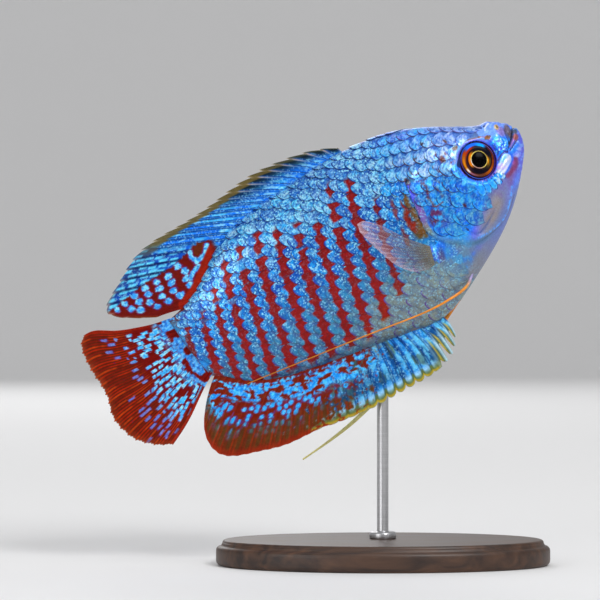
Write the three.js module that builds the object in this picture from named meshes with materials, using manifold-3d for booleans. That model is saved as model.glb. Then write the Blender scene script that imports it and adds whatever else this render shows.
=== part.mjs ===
// Dwarf gourami (Trichogaster lalius), adult male, life size, as a still display
// model on a plain stand: a flat oval base and one short rod into the lower flank.
// Millimetres, +Z up. The fish faces +X with its head raised; its right side faces -Y.
// The origin is the centre of the base's underside, straight below the rod.
import * as THREE from 'three';
import { mergeVertices } from 'three/addons/utils/BufferGeometryUtils.js';
import Module from 'manifold-3d';

const wasm = await Module();
wasm.setup();

// ---------------------------------------------------------------- driving sizes
const PITCH = THREE.MathUtils.degToRad(31);   // body axis above the horizontal
const SNOUT_X = 22.0;                         // chin tip in front of the rod's column
const SNOUT_Z = 64.9;                         // chin tip above the floor
const GAP = 0.3;                              // clearance between neighbouring pieces

const EYE = { u: 7.1, h: 1.95, side: 2.6, len: 3.0, high: 3.35, deep: 1.95 };
const GILL_SHELL = 0.25;                      // share of the half width that the gill cover takes
const FIN_ROOT_T = 0.95, FIN_EDGE_T = 0.55;   // fin plate thickness at root and margin
const FEELER_D = 0.6;                         // feeler thickness in the solids

const ROD = { y: 1.7, r: 0.9, foot: 1.5, top: 40.2, collarR: 2.1, collarH: 1.1 };
const BASE = { length: 52, width: 32, height: 4, chamfer: 0.8 };

// The side plane of the fish: u runs back from the chin tip along the body axis,
// h runs up towards the back. Both outlines start in the notch of the mouth.
const BACK = [[0.2, 3.4], [0.5, 4.6], [2.1, 6.1], [4.0, 6.75], [7.5, 8.5], [10.8, 10.45], [15.1, 12.45],
  [19.8, 13.7], [25, 14.3], [31, 14.25], [37.5, 13.9], [44, 13.1], [50, 10.9], [54.6, 7.8], [58, 6.35], [61.3, 5.7]];
const BELLY = [[0.2, 3.4], [-0.35, 3.3], [-0.65, 2.4], [-0.05, -0.05], [2.1, -2.95], [6.4, -7.3], [13.6, -11.95],
  [18.5, -14.4], [24.5, -16.3], [31, -15.4], [38, -14.1], [45.4, -12.7], [51.5, -11.1], [55.5, -9.1], [58, -7.0], [60.1, -5.4]];
// Half width against the square root of the distance from the mouth along the back.
const HALF_WIDTH = [[0, 0], [0.8, 0.95], [1.3, 1.6], [2, 2.5], [3, 3.95], [4, 4.8], [5, 5.1], [6, 4.75],
  [7, 3.45], [7.5, 2.5], [8, 1.4], [8.15, 1.1]];

// ---------------------------------------------------------------- curves
function spline(xs, ys) {                     // natural cubic through the knots
  const n = xs.length, a = new Array(n).fill(0), b = [...a], m = [...a];
  for (let i = 1; i < n - 1; i++) {
    const h0 = xs[i] - xs[i - 1], h1 = xs[i + 1] - xs[i];
    const p = h0 * a[i - 1] + 2 * (h0 + h1);
    a[i] = -h1 / p;
    b[i] = (6 * ((ys[i + 1] - ys[i]) / h1 - (ys[i] - ys[i - 1]) / h0) - h0 * b[i - 1]) / p;
  }
  for (let i = n - 2; i > 0; i--) m[i] = a[i] * m[i + 1] + b[i];
  return (x) => {
    let i = 0;
    while (i < n - 2 && x > xs[i + 1]) i++;
    const h = xs[i + 1] - xs[i], t = (x - xs[i]) / h, r = 1 - t;
    return r * ys[i] + t * ys[i + 1] + h * h / 6 * ((r * r * r - r) * m[i] + (t * t * t - t) * m[i + 1]);
  };
}

function outline(knots) {                     // smooth line through knots, by share of its length
  const t = [0];
  for (let i = 1; i < knots.length; i++) {
    t.push(t[i - 1] + Math.hypot(knots[i][0] - knots[i - 1][0], knots[i][1] - knots[i - 1][1]));
  }
  const su = spline(t, knots.map((k) => k[0])), sh = spline(t, knots.map((k) => k[1]));
  const length = t[t.length - 1];
  return { length, at: (f) => [su(f * length), sh(f * length)] };
}

const back = outline(BACK), belly = outline(BELLY);
const widthAt = spline(HALF_WIDTH.map((k) => k[0]), HALF_WIDTH.map((k) => k[1]));
const halfWidth = (s) => Math.max(0, widthAt(Math.sqrt(s * back.length)));
const bellyShare = (s) => s + 0.2 * s * (1 - s) ** 3;      // keeps the rings square to the body
const keel = (s) => 0.5 + 0.1 * THREE.MathUtils.smoothstep(s, 0.15, 0.6);
const TOP_HEAVY = 0.1;                                     // wider above the axis than below it

// A point of the body: s runs from mouth to tail root, phi from the back (0) round
// the left side to the belly (pi) and up the right side; grow swells it evenly.
function bodyPoint(s, phi, grow = 0) {
  const [tu, th] = back.at(s), [bu, bh] = belly.at(bellyShare(s));
  const mu = (tu + bu) / 2, mh = (th + bh) / 2;
  const half = Math.max(1e-6, Math.hypot(tu - bu, th - bh) / 2);
  const c = Math.cos(phi), k = c * (half + grow) / half;
  const y = (halfWidth(s) + grow) * (1 - c * c) ** keel(s) * (1 + TOP_HEAVY * c) * Math.sign(Math.sin(phi));
  return [mu + (tu - mu) * k, mh + (th - mh) * k, y];
}

// ---------------------------------------------------------------- solids
function toSolid(geometry) {
  geometry = geometry.index ? geometry.toNonIndexed() : geometry;
  geometry.deleteAttribute('normal');
  geometry.deleteAttribute('uv');
  const g = mergeVertices(geometry, 1e-4);
  const vertProperties = new Float32Array(g.attributes.position.array);
  let triVerts = new Uint32Array(g.index.array);
  triVerts = triVerts.filter((_, i) => {
    const t = i - (i % 3), [p, q, r] = [g.index.array[t], g.index.array[t + 1], g.index.array[t + 2]];
    return p !== q && q !== r && p !== r;
  });
  let volume = 0;
  const v = (i) => new THREE.Vector3().fromArray(vertProperties, 3 * i);
  for (let t = 0; t < triVerts.length; t += 3) {
    volume += v(triVerts[t]).dot(v(triVerts[t + 1]).cross(v(triVerts[t + 2])));
  }
  if (volume < 0) {
    for (let t = 0; t < triVerts.length; t += 3) [triVerts[t + 1], triVerts[t + 2]] = [triVerts[t + 2], triVerts[t + 1]];
  }
  return new wasm.Manifold(new wasm.Mesh({ numProp: 3, vertProperties, triVerts }));
}

function fromFaces(points, faces) {
  const g = new THREE.BufferGeometry();
  g.setAttribute('position', new THREE.Float32BufferAttribute(points.flat(), 3));
  g.setIndex(faces.flat());
  return g;
}

function bodySolid(grow, rings, around, squeeze = 1) {
  const points = [[0.2 - grow, 3.4 + grow * 0.4, 0]], faces = [];
  for (let i = 1; i <= rings; i++) {
    const s = (i / rings) ** 1.25;            // rings crowd together on the face
    for (let j = 0; j < around; j++) {
      const p = bodyPoint(s, 2 * Math.PI * j / around, grow);
      points.push([p[0], p[1], p[2] * squeeze]);
    }
  }
  const ring = (i, j) => 1 + (i - 1) * around + (j % around);
  for (let j = 0; j < around; j++) faces.push([0, ring(1, j), ring(1, j + 1)]);
  for (let i = 1; i < rings; i++) {
    for (let j = 0; j < around; j++) {
      faces.push([ring(i, j), ring(i + 1, j), ring(i + 1, j + 1)], [ring(i, j), ring(i + 1, j + 1), ring(i, j + 1)]);
    }
  }
  points.push([61.2 + grow, 0.1, 0]);         // the rounded end of the fleshy tail root
  const end = points.length - 1;
  for (let j = 0; j < around; j++) faces.push([end, ring(rings, j + 1), ring(rings, j)]);
  return toSolid(fromFaces(points, faces));
}

function prism(pointsInSidePlane, y0, y1) {
  const shape = new THREE.Shape(pointsInSidePlane.map(([u, h]) => new THREE.Vector2(u, h)));
  const g = new THREE.ExtrudeGeometry(shape, { depth: y1 - y0, bevelEnabled: false, steps: 1 });
  g.translate(0, 0, y0);
  return toSolid(g);
}

function offsetLine(line, d) {
  return line.map((p, i) => {
    const q = line[Math.max(0, i - 1)], r = line[Math.min(line.length - 1, i + 1)];
    const l = Math.hypot(r[0] - q[0], r[1] - q[1]);
    return [p[0] - d * (r[1] - q[1]) / l, p[1] + d * (r[0] - q[0]) / l];
  });
}
const sample = (knots, n) => {
  const o = outline(knots);
  return Array.from({ length: n + 1 }, (_, i) => o.at(i / n));
};
const slit = (line) => prism([...offsetLine(line, GAP / 2), ...offsetLine(line, -GAP / 2).reverse()], -12, 12);

// A fin: a plate between its root line and its margin, thicker at the root, whose
// middle surface can drift sideways. The margin steps out at each ray tip.
function finSolid({ root, margin, rays, perRay, rows, notch = 0, drift = () => 0, rootT = FIN_ROOT_T, edgeT = FIN_EDGE_T, lean = 0 }) {
  const r = outline(root), m = outline(margin), cols = rays * perRay;
  const points = [], faces = [];
  for (const face of [1, -1]) {
    for (let i = 0; i <= cols; i++) {
      const a = i / cols, p = r.at(a), q = m.at(a), cut = notch * (Math.abs(((a * rays) % 1) - 0.5) < 0.26 ? 1 : 0);
      for (let j = 0; j <= rows; j++) {
        const b = (j / rows) * (1 - cut), bend = lean * b * (1 - b);
        const dx = q[0] - p[0], dy = q[1] - p[1];
        points.push([p[0] + dx * b - dy * bend, p[1] + dy * b + dx * bend,
          drift(a, b, b * Math.hypot(dx, dy)) + face * THREE.MathUtils.lerp(rootT, edgeT, b) / 2]);
      }
    }
  }
  const n = rows + 1, other = (cols + 1) * n, id = (i, j, f) => i * n + j + (f ? other : 0);
  for (let i = 0; i < cols; i++) {
    for (let j = 0; j < rows; j++) {
      faces.push([id(i, j), id(i + 1, j), id(i + 1, j + 1)], [id(i, j), id(i + 1, j + 1), id(i, j + 1)]);
      faces.push([id(i, j, 1), id(i + 1, j + 1, 1), id(i + 1, j, 1)], [id(i, j, 1), id(i, j + 1, 1), id(i + 1, j + 1, 1)]);
    }
    faces.push([id(i, 0), id(i, 0, 1), id(i + 1, 0, 1)], [id(i, 0), id(i + 1, 0, 1), id(i + 1, 0)]);
    faces.push([id(i, rows), id(i + 1, rows, 1), id(i, rows, 1)], [id(i, rows), id(i + 1, rows), id(i + 1, rows, 1)]);
  }
  for (let j = 0; j < rows; j++) {
    faces.push([id(0, j), id(0, j + 1), id(0, j + 1, 1)], [id(0, j), id(0, j + 1, 1), id(0, j, 1)]);
    faces.push([id(cols, j), id(cols, j + 1, 1), id(cols, j + 1)], [id(cols, j), id(cols, j, 1), id(cols, j + 1, 1)]);
  }
  return toSolid(fromFaces(points, faces));
}

function rodSolid(path, diameter, steps, sides) {
  const section = new THREE.Shape(Array.from({ length: sides }, (_, i) => {
    const w = 2 * Math.PI * i / sides;
    return new THREE.Vector2(Math.cos(w), Math.sin(w)).multiplyScalar(diameter / 2);
  }));
  const curve = new THREE.CatmullRomCurve3(path.map((p) => new THREE.Vector3(...p)), false, 'centripetal');
  return toSolid(new THREE.ExtrudeGeometry(section, { steps, bevelEnabled: false, extrudePath: curve }));
}

const mirrored = (points) => points.map(([u, h, y]) => [u, h, -y]);

// ---------------------------------------------------------------- the fish
const RINGS = 36, AROUND = 22;
const flesh = bodySolid(0, RINGS, AROUND);
const clearance = bodySolid(GAP, RINGS, AROUND);

// Gill covers: the outer shell over the gill chamber's wall, free along its rear edge.
const GILL_EDGE = [[14.6, 5.4], [18.2, 5.0], [18.8, 1.8], [20.3, -2.9], [19.4, -5.2], [16.6, -7.9], [14.2, -9.1],
  [12.2, -8.4], [11.2, -4.6], [10.9, -0.6], [11.8, 3.2], [14.6, 5.4]];
const gillLine = sample(GILL_EDGE, 26).slice(0, -1);
const gillWide = offsetLine([...gillLine, gillLine[0]], GAP).slice(0, -1);
const underCover = bodySolid(0, RINGS, AROUND, 1 - GILL_SHELL);
const gillFloor = bodySolid(0, RINGS, AROUND, 1 - GILL_SHELL - 0.06);

const coverRight = flesh.intersect(prism(gillLine, -12, -0.6)).subtract(underCover);
const coverLeft = flesh.intersect(prism(gillLine, 0.6, 12)).subtract(underCover);
const core = flesh.subtract(prism(gillWide, -12, 12).subtract(gillFloor));

// Thin cuts part the head from the trunk, the lower jaw from the head and the tail root from the trunk.
const headEnd = sample([[16.0, 16.5], [17.0, 11], [17.4, 5], [18.0, 0], [18.3, -3.2], [16.9, -6.2], [14.9, -8.6], [14.6, -11], [15.0, -16]], 16);
const jawLine = sample([[-1.0, 5.0], [0.2, 3.4], [1.4, 1.75], [2.3, 0.7], [3.7, -1.7], [6.3, -5.2], [8.3, -8.0], [9.2, -10.6]], 12);
const peduncleLine = [[57.2, 12], [56.6, 0], [55.6, -14]];

const frontSide = prism([...headEnd, [-6, -16], [-6, 16.5]], -12, 12);
const jawSide = prism([...jawLine, [-6, -10.6], [-6, 5.0]], -12, 12);
const tailSide = prism([...peduncleLine, [70, -14], [70, 12]], -12, 12);

const front = core.intersect(frontSide).subtract(slit(headEnd));
const eyeBall = (side, grow) => {
  const g = new THREE.SphereGeometry(1, 16, 10);
  g.rotateX(Math.PI / 2);
  g.scale(EYE.len + grow, EYE.high + grow, EYE.deep + grow);
  g.translate(EYE.u, EYE.h, side * EYE.side);
  return toSolid(g);
};
const head = front.subtract(jawSide).subtract(slit(jawLine)).subtract(eyeBall(1, GAP)).subtract(eyeBall(-1, GAP));
const lowerJaw = front.intersect(jawSide).subtract(slit(jawLine));

// The rod's socket, stated in the fish's own axes so that it stands upright once the body is pitched.
const toFish = (x, z) => {
  const dx = SNOUT_X - x, dz = SNOUT_Z - z;
  return [dx * Math.cos(PITCH) + dz * Math.sin(PITCH), dx * Math.sin(PITCH) - dz * Math.cos(PITCH)];
};
const socket = (() => {
  const g = new THREE.CylinderGeometry(ROD.r + GAP, ROD.r + GAP, 24, 16);
  g.rotateZ(PITCH);
  const [u, h] = toFish(0, ROD.top + GAP - 12);
  g.translate(u, h, ROD.y);
  return toSolid(g);
})();
const rear = core.subtract(frontSide).subtract(slit(headEnd));
const trunk = rear.subtract(tailSide).subtract(slit(peduncleLine)).subtract(socket);
const peduncle = rear.intersect(tailSide).subtract(slit(peduncleLine));

// Unpaired fins.
const dorsal = finSolid({
  root: [[24.6, 13.2], [31, 13.0], [38, 12.6], [44.5, 11.8], [50, 9.6], [54.4, 6.8], [57.2, 5.6]],
  margin: [[24.6, 15.2], [28.3, 16.7], [33.1, 17.8], [38.3, 18.4], [44.9, 17.7], [51.5, 17.3], [56.5, 17.4],
    [60.2, 16.9], [65.2, 14.4], [68.8, 11.5], [66.3, 8.9], [62.6, 6.85], [58.4, 6.5]],
  rays: 24, perRay: 2, rows: 3, notch: 0.05,
}).subtract(clearance);
const anal = finSolid({
  root: [[24.9, -15.0], [31, -14.1], [38, -12.9], [45.4, -11.4], [51.5, -9.8], [55.5, -7.6], [58.6, -5.2]],
  margin: [[24.1, -19.3], [26.0, -21.5], [29.8, -22.7], [36.0, -22.6], [40.6, -22.5], [45.8, -21.8], [50.2, -21.1], [55.9, -20.5],
    [60.4, -19.1], [65.5, -16.2], [65.6, -12.9], [63.3, -9.1], [60.2, -5.9]],
  rays: 26, perRay: 2, rows: 3, notch: 0.06,
}).subtract(clearance);
const caudal = finSolid({
  root: [[58.8, 5.0], [58.6, 2.5], [58.4, 0], [58.2, -2.5], [58.0, -4.6]],
  margin: [[63.2, 6.1], [66.1, 7.05], [69.7, 8.65], [72.6, 10.3], [74.6, 9.9], [75.6, 7.4], [75.8, 4.0], [75.6, 0.4],
    [76.6, -2.6], [76.1, -6.4], [73.8, -9.6], [70.8, -11.5], [66.4, -9.3], [61.4, -6.0]],
  rays: 16, perRay: 2, rows: 4, notch: 0.02,
}).subtract(clearance);

// Paired fins: pectorals held up and back off the flank, just clear of it at the root.
const PECTORAL_ROOT_Y = [5.5, 4.9], PECTORAL_LIFT = 0.3;   // distance from the mid plane at the root's ends; rise per mm of ray
const pectoralParts = {
  root: [[20.4, -5.2], [20.9, -6.9], [21.4, -8.3]],
  margin: [[22.9, -3.2], [25.8, 1.4], [28.4, 3.2], [29.1, 1.6], [28.0, -2.2], [26.0, -6.6], [23.2, -8.4]],
  rays: 10, perRay: 1, rows: 4, rootT: 0.8, edgeT: 0.55,
};
const pectoral = (side) => finSolid({
  ...pectoralParts,
  drift: (a, b, reach) => side * (THREE.MathUtils.lerp(...PECTORAL_ROOT_Y, a) + PECTORAL_LIFT * reach),
});

// Feelers: the thread-like pelvic fins under the throat, laid back by the swimming fish.
const FEELER_RIGHT = [[18.4, -13.9, -2.5], [21.2, -14.1, -3.3], [25.3, -14.0, -4.2], [31, -13.15, -4.8], [38, -11.95, -5.1],
  [47, -10.55, -5.0], [55.7, -9.2, -4.4]];
const FEELER_LEFT = [[18.4, -13.9, 2.3], [21.2, -15.2, 3.0], [25.3, -17.2, 3.9], [31, -19.6, 5.2], [38, -21.5, 6.3],
  [46, -23.3, 7.0], [54.7, -24.1, 7.2]];
const feelerRight = rodSolid(FEELER_RIGHT, FEELER_D, 22, 6).subtract(clearance);
const feelerLeft = rodSolid(FEELER_LEFT, FEELER_D, 22, 6).subtract(clearance);

// ---------------------------------------------------------------- the stand
const lathe = (profile, segments) => {
  const g = new THREE.LatheGeometry(profile.map(([r, z]) => new THREE.Vector2(r, z)), segments);
  g.rotateX(Math.PI / 2);
  return g;
};
const baseSolid = (() => {
  const R = BASE.length / 2;
  const g = lathe([[0, 0], [R - 0.4, 0], [R, 0.4], [R, BASE.height - BASE.chamfer], [R - BASE.chamfer, BASE.height], [0, BASE.height]], 40);
  g.scale(1, BASE.width / BASE.length, 1);
  const hole = new THREE.CylinderGeometry(ROD.r + GAP, ROD.r + GAP, 6, 16);
  hole.rotateX(Math.PI / 2);
  hole.translate(0, ROD.y, ROD.foot - GAP + 3);
  return toSolid(g).subtract(toSolid(hole));
})();
const rodStand = (() => {
  const z = BASE.height + 0.1, c = ROD.collarH;
  const g = lathe([[0, ROD.foot], [ROD.r, ROD.foot], [ROD.r, z], [ROD.collarR, z], [ROD.collarR, z + c - 0.4],
    [ROD.collarR - 0.4, z + c], [ROD.r, z + c], [ROD.r, ROD.top], [0, ROD.top]], 18);
  g.translate(0, ROD.y, 0);
  return toSolid(g);
})();

// ---------------------------------------------------------------- scene graph
function meshOf(name, solid, color, roughness, metalness) {
  const m = solid.getMesh(), g = new THREE.BufferGeometry();
  g.setAttribute('position', new THREE.Float32BufferAttribute(Float32Array.from(m.vertProperties), 3));
  g.setIndex(Array.from(m.triVerts));
  g.computeVertexNormals();
  const mesh = new THREE.Mesh(g, new THREE.MeshStandardMaterial({ color, roughness, metalness }));
  mesh.name = name;
  return mesh;
}

const fish = new THREE.Group();
const c = Math.cos(PITCH), s = Math.sin(PITCH);
fish.applyMatrix4(new THREE.Matrix4().makeBasis(
  new THREE.Vector3(-c, 0, -s), new THREE.Vector3(-s, 0, c), new THREE.Vector3(0, 1, 0),
).setPosition(SNOUT_X, 0, SNOUT_Z));

fish.add(
  meshOf('head', head, '#86a6cf', 0.35, 0.1),
  meshOf('lower_jaw', lowerJaw, '#8a86a8', 0.4, 0.05),
  meshOf('gill_cover_right', coverRight, '#2f86d8', 0.3, 0.15),
  meshOf('gill_cover_left', coverLeft, '#2f86d8', 0.3, 0.15),
  meshOf('trunk', trunk, '#5d97c4', 0.35, 0.1),
  meshOf('tail_root', peduncle, '#6a8fb4', 0.35, 0.1),
  meshOf('eye_right', eyeBall(-1, 0), '#2a1710', 0.08, 0),
  meshOf('eye_left', eyeBall(1, 0), '#2a1710', 0.08, 0),
  meshOf('fin_dorsal', dorsal, '#2f74c4', 0.4, 0.05),
  meshOf('fin_anal', anal, '#3d7fbe', 0.4, 0.05),
  meshOf('fin_caudal', caudal, '#a8371c', 0.45, 0),
  meshOf('fin_pectoral_right', pectoral(-1), '#b6aaa6', 0.4, 0),
  meshOf('fin_pectoral_left', pectoral(1), '#b6aaa6', 0.4, 0),
  meshOf('feeler_right', feelerRight, '#d8932c', 0.45, 0),
  meshOf('feeler_left', feelerLeft, '#d8a83c', 0.45, 0),
);

const model = new THREE.Group();
model.add(
  fish,
  meshOf('stand_base', baseSolid, '#2c2019', 0.45, 0),
  meshOf('stand_rod', rodStand, '#b4b6b8', 0.3, 1),
);

export default model;
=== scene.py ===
import math
import bpy
import numpy as np
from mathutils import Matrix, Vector

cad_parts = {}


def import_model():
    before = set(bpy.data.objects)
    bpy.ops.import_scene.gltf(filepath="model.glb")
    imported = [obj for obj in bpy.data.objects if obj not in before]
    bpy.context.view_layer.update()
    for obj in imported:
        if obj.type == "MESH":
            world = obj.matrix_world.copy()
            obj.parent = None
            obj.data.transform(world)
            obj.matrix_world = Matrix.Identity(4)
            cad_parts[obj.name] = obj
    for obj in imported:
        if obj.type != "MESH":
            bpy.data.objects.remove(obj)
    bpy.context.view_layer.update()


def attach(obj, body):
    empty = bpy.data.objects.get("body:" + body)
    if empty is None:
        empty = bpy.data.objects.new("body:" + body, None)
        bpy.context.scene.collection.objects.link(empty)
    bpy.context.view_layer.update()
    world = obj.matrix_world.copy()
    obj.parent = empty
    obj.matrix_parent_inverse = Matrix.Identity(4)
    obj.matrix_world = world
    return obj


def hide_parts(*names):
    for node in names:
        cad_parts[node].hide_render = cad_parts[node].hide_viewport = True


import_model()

# ------------------------------------------------------------------ sizes (mm)
PITCH = math.radians(31)
CP, SP = math.cos(PITCH), math.sin(PITCH)
SNOUT_X, SNOUT_Z = 22.0, 64.9
COAT = 0.18                    # depth of the scale coat: the skin lies this far inside the solids
TOP_HEAVY = 0.1
EYE_U, EYE_H, EYE_RU, EYE_RH = 7.24, 2.06, 2.86, 3.04   # visible ring of the eye, as the picture shows it
EYE_AT_U, EYE_AT_H = 7.47, 2.03                         # its centre on the body
PUPIL_U, PUPIL_H, PUPIL_R = 7.12, 2.04, 1.2
ROD = dict(y=1.7, r=0.9, foot=1.5, top=40.2, collar=2.1, collar_h=1.1)
BASE = dict(length=52.0, width=32.0, height=4.0, edge=0.8)

BACK = [(0.2, 3.4), (0.5, 4.6), (2.1, 6.1), (4.0, 6.75), (7.5, 8.5), (10.8, 10.45), (15.1, 12.45), (19.8, 13.7), (25, 14.3),
        (31, 14.25), (37.5, 13.9), (44, 13.1), (50, 10.9), (54.6, 7.8), (58, 6.35), (61.3, 5.7)]
BELLY = [(0.2, 3.4), (-0.35, 3.3), (-0.65, 2.4), (-0.05, -0.05), (2.1, -2.95), (6.4, -7.3), (13.6, -11.95), (18.5, -14.4),
         (24.5, -16.3), (31, -15.4), (38, -14.1), (45.4, -12.7), (51.5, -11.1), (55.5, -9.1), (58, -7.0), (60.1, -5.4)]
HALF_WIDTH = [(0, 0), (0.8, 0.95), (1.3, 1.6), (2, 2.5), (3, 3.95), (4, 4.8), (5, 5.1), (6, 4.75), (7, 3.45), (7.5, 2.5),
              (8, 1.4), (8.15, 1.1)]


# ------------------------------------------------------------------ small maths
def spline(xs, ys):
    xs, ys = np.asarray(xs, float), np.asarray(ys, float)
    n = len(xs)
    a, b, m = np.zeros(n), np.zeros(n), np.zeros(n)
    for i in range(1, n - 1):
        h0, h1 = xs[i] - xs[i - 1], xs[i + 1] - xs[i]
        p = h0 * a[i - 1] + 2 * (h0 + h1)
        a[i] = -h1 / p
        b[i] = (6 * ((ys[i + 1] - ys[i]) / h1 - (ys[i] - ys[i - 1]) / h0) - h0 * b[i - 1]) / p
    for i in range(n - 2, 0, -1):
        m[i] = a[i] * m[i + 1] + b[i]

    def at(x):
        x = np.asarray(x, float)
        i = np.clip(np.searchsorted(xs, x, side="left") - 1, 0, n - 2)
        h = xs[i + 1] - xs[i]
        t = (x - xs[i]) / h
        r = 1 - t
        return r * ys[i] + t * ys[i + 1] + h * h / 6 * ((r ** 3 - r) * m[i] + (t ** 3 - t) * m[i + 1])
    return at


class Outline:
    def __init__(self, knots):
        k = np.asarray(knots, float)
        t = np.r_[0, np.cumsum(np.hypot(*np.diff(k[:, :2], axis=0).T))]
        self.length = t[-1]
        self.parts = [spline(t, k[:, i]) for i in range(k.shape[1])]

    def __call__(self, f):
        return [p(np.asarray(f) * self.length) for p in self.parts]

    def share(self, points):
        f = np.linspace(0, 1, 2001)
        u, h = self(f)[:2]
        return [float(f[np.argmin((u - p[0]) ** 2 + (h - p[1]) ** 2)]) for p in points]


def smooth(x, a, b):
    t = np.clip((np.asarray(x, float) - a) / (b - a), 0, 1)
    return t * t * (3 - 2 * t)


def bell(x, w):
    return np.exp(-(np.asarray(x) / w) ** 2)


def hash01(ix, iy, seed=0):
    n = (ix.astype(np.int64) * 374761393 + iy.astype(np.int64) * 668265263 + seed * 974634777) & 0xFFFFFFFF
    n = ((n ^ (n >> 13)) * 1274126177) & 0xFFFFFFFF
    return ((n ^ (n >> 16)) & 0xFFFFFF) / 16777215.0


def noise(x, y, seed=0):
    x, y = np.asarray(x, float), np.asarray(y, float)
    ix, iy = np.floor(x), np.floor(y)
    fx, fy = x - ix, y - iy
    fx, fy = fx * fx * (3 - 2 * fx), fy * fy * (3 - 2 * fy)
    a, b = hash01(ix, iy, seed), hash01(ix + 1, iy, seed)
    c, d = hash01(ix, iy + 1, seed), hash01(ix + 1, iy + 1, seed)
    return (a * (1 - fx) + b * fx) * (1 - fy) + (c * (1 - fx) + d * fx) * fy


def fbm(x, y, seed=0, octaves=3):
    total, amp, norm = 0, 1.0, 0
    for o in range(octaves):
        total = total + amp * noise(x * 2 ** o, y * 2 ** o, seed + 31 * o)
        norm += amp
        amp *= 0.5
    return total / norm


def lin(c):
    c = np.asarray(c, float)
    return np.where(c <= 0.04045, c / 12.92, ((np.maximum(c, 0) + 0.055) / 1.055) ** 2.4)


def rgb(r, g, b):
    return np.array([r, g, b]) / 255.0


def mix(col, other, w):
    w = np.clip(w, 0, 1)[..., None]
    return col * (1 - w) + np.asarray(other) * w


def blob(u, h, u0, h0, ru, rh, tilt=0.0, soft=0.35):
    """1 inside an ellipse of the side plane, 0 outside, with a soft edge."""
    t = math.radians(tilt)
    x, y = (u - u0) * math.cos(t) + (h - h0) * math.sin(t), -(u - u0) * math.sin(t) + (h - h0) * math.cos(t)
    r = np.sqrt((x / ru) ** 2 + (y / rh) ** 2)
    return 1 - smooth(r, 1 - soft, 1 + soft)


def line_on(u, h, knots, width, n=10):
    """1 on a smooth line of the given half width, 0 off it."""
    return 1 - smooth(line_info(u, h, knots, n)[0], width * 0.6, width * 1.5)


def line_info(u, h, knots, n=36):
    """Distance to a smooth line, share along it, and side (+ left of its direction)."""
    o = Outline(knots)
    pu, ph = o(np.linspace(0, 1, n + 1))
    best = np.full(u.shape, 1e9)
    share, side = np.zeros(u.shape), np.ones(u.shape)
    for i in range(n):
        du, dh = pu[i + 1] - pu[i], ph[i + 1] - ph[i]
        L2 = du * du + dh * dh
        t = np.clip(((u - pu[i]) * du + (h - ph[i]) * dh) / L2, 0, 1)
        qu, qh = u - pu[i] - t * du, h - ph[i] - t * dh
        d = np.hypot(qu, qh)
        near = d < best
        best = np.where(near, d, best)
        share = np.where(near, (i + t) / n, share)
        side = np.where(near, np.sign(du * qh - dh * qu), side)
    return best, share, side


# ------------------------------------------------------------------ the body's form
back, belly = Outline(BACK), Outline(BELLY)
width_at = spline(*zip(*HALF_WIDTH))


def half_width(s):
    return np.maximum(0, width_at(np.sqrt(np.maximum(s, 0) * back.length)))


def body_point(s, phi, grow=0.0):
    s = np.asarray(s, float)
    tu, th = back(s)
    bu, bh = belly(s + 0.2 * s * (1 - s) ** 3)
    mu, mh = (tu + bu) / 2, (th + bh) / 2
    half = np.maximum(1e-6, np.hypot(tu - bu, th - bh) / 2)
    c = np.cos(phi)
    k = c * (half + grow) / half
    keel = 0.5 + 0.1 * smooth(s, 0.15, 0.6)
    y = np.maximum(half_width(s) + grow, 0.0) * np.maximum(1 - c * c, 0) ** keel * (1 + TOP_HEAVY * c) * np.sign(np.sin(phi))
    return mu + (tu - mu) * k, mh + (th - mh) * k, y


def world(u, h, y):
    """Fish axes (mm) to the row frame (m)."""
    return np.stack([SNOUT_X - u * CP - h * SP, y, SNOUT_Z - u * SP + h * CP], -1) / 1000.0


def seen(u, h, y):
    """Where the picture shows a place of the head: its side stands nearer to the camera than the mid plane."""
    k = np.abs(y) / 500.0 * (1 - smooth(u, 21.0, 25.0))
    dx, dz = SNOUT_X - u * CP - h * SP + 12.9, SNOUT_Z - u * SP + h * CP - 41.2
    return u - k * (CP * dx + SP * dz), h + k * (CP * dz - SP * dx)


# lines of the face, gill cover and throat, in the places where the picture shows them
CLEFT = [(-0.6, 3.62), (0.12, 3.45), (0.45, 2.95), (0.85, 2.4), (1.3, 2.02), (1.75, 1.6), (2.15, 1.15), (2.55, 0.78)]
LOWER_LIP = [(-0.1, 1.55), (0.5, 1.5), (1.05, 1.25), (1.6, 0.98), (2.15, 0.78)]
LIP_FOLD = [(1.12, 4.8), (1.18, 4.2), (1.28, 3.6), (1.42, 2.9), (1.55, 2.35), (1.7, 1.9)]
INNER_FOLD = [(0.6, 4.5), (0.42, 4.05), (0.36, 3.6), (0.46, 3.25)]
SNOUT_FOLD = [(2.35, 4.3), (2.1, 3.6), (1.95, 2.7), (2.1, 1.9), (2.25, 1.3)]
CORNER_FOLD = [(2.5, 0.78), (2.95, 1.0), (3.4, 0.95), (3.9, 0.8), (4.5, 0.45)]
JAW_CREASE = [(2.2, 0.2), (2.7, -1.0), (3.6, -2.6), (4.8, -4.2)]
CHIN_FOLD = [(0.95, 1.2), (1.5, 0.2), (2.3, -1.2)]
GILL_REAR = [(16.0, 6.5), (17.5, 5.6), (18.55, 4.7), (18.95, 3.5), (19.2, 2.0), (19.4, 0.0), (19.75, -2.0), (19.6, -4.0), (18.9, -5.3),
             (17.2, -7.1), (15.6, -8.2), (13.8, -8.85), (11.6, -8.75), (8.0, -7.65), (5.2, -5.4)]
MANDIBLE = [(14.1, -8.2), (11.0, -8.3), (8.1, -7.5), (6.5, -6.1), (5.2, -4.7), (4.3, -3.4)]
PREOPERCLE = [(11.9, 2.4), (13.6, 0.3), (14.35, -2.8), (14.3, -5.6), (13.3, -7.6), (10.6, -6.9), (8.0, -5.3)]
FEELER_GROOVE = [(15.6, -12.3), (17.5, -13.2), (18.6, -13.8)]
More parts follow.
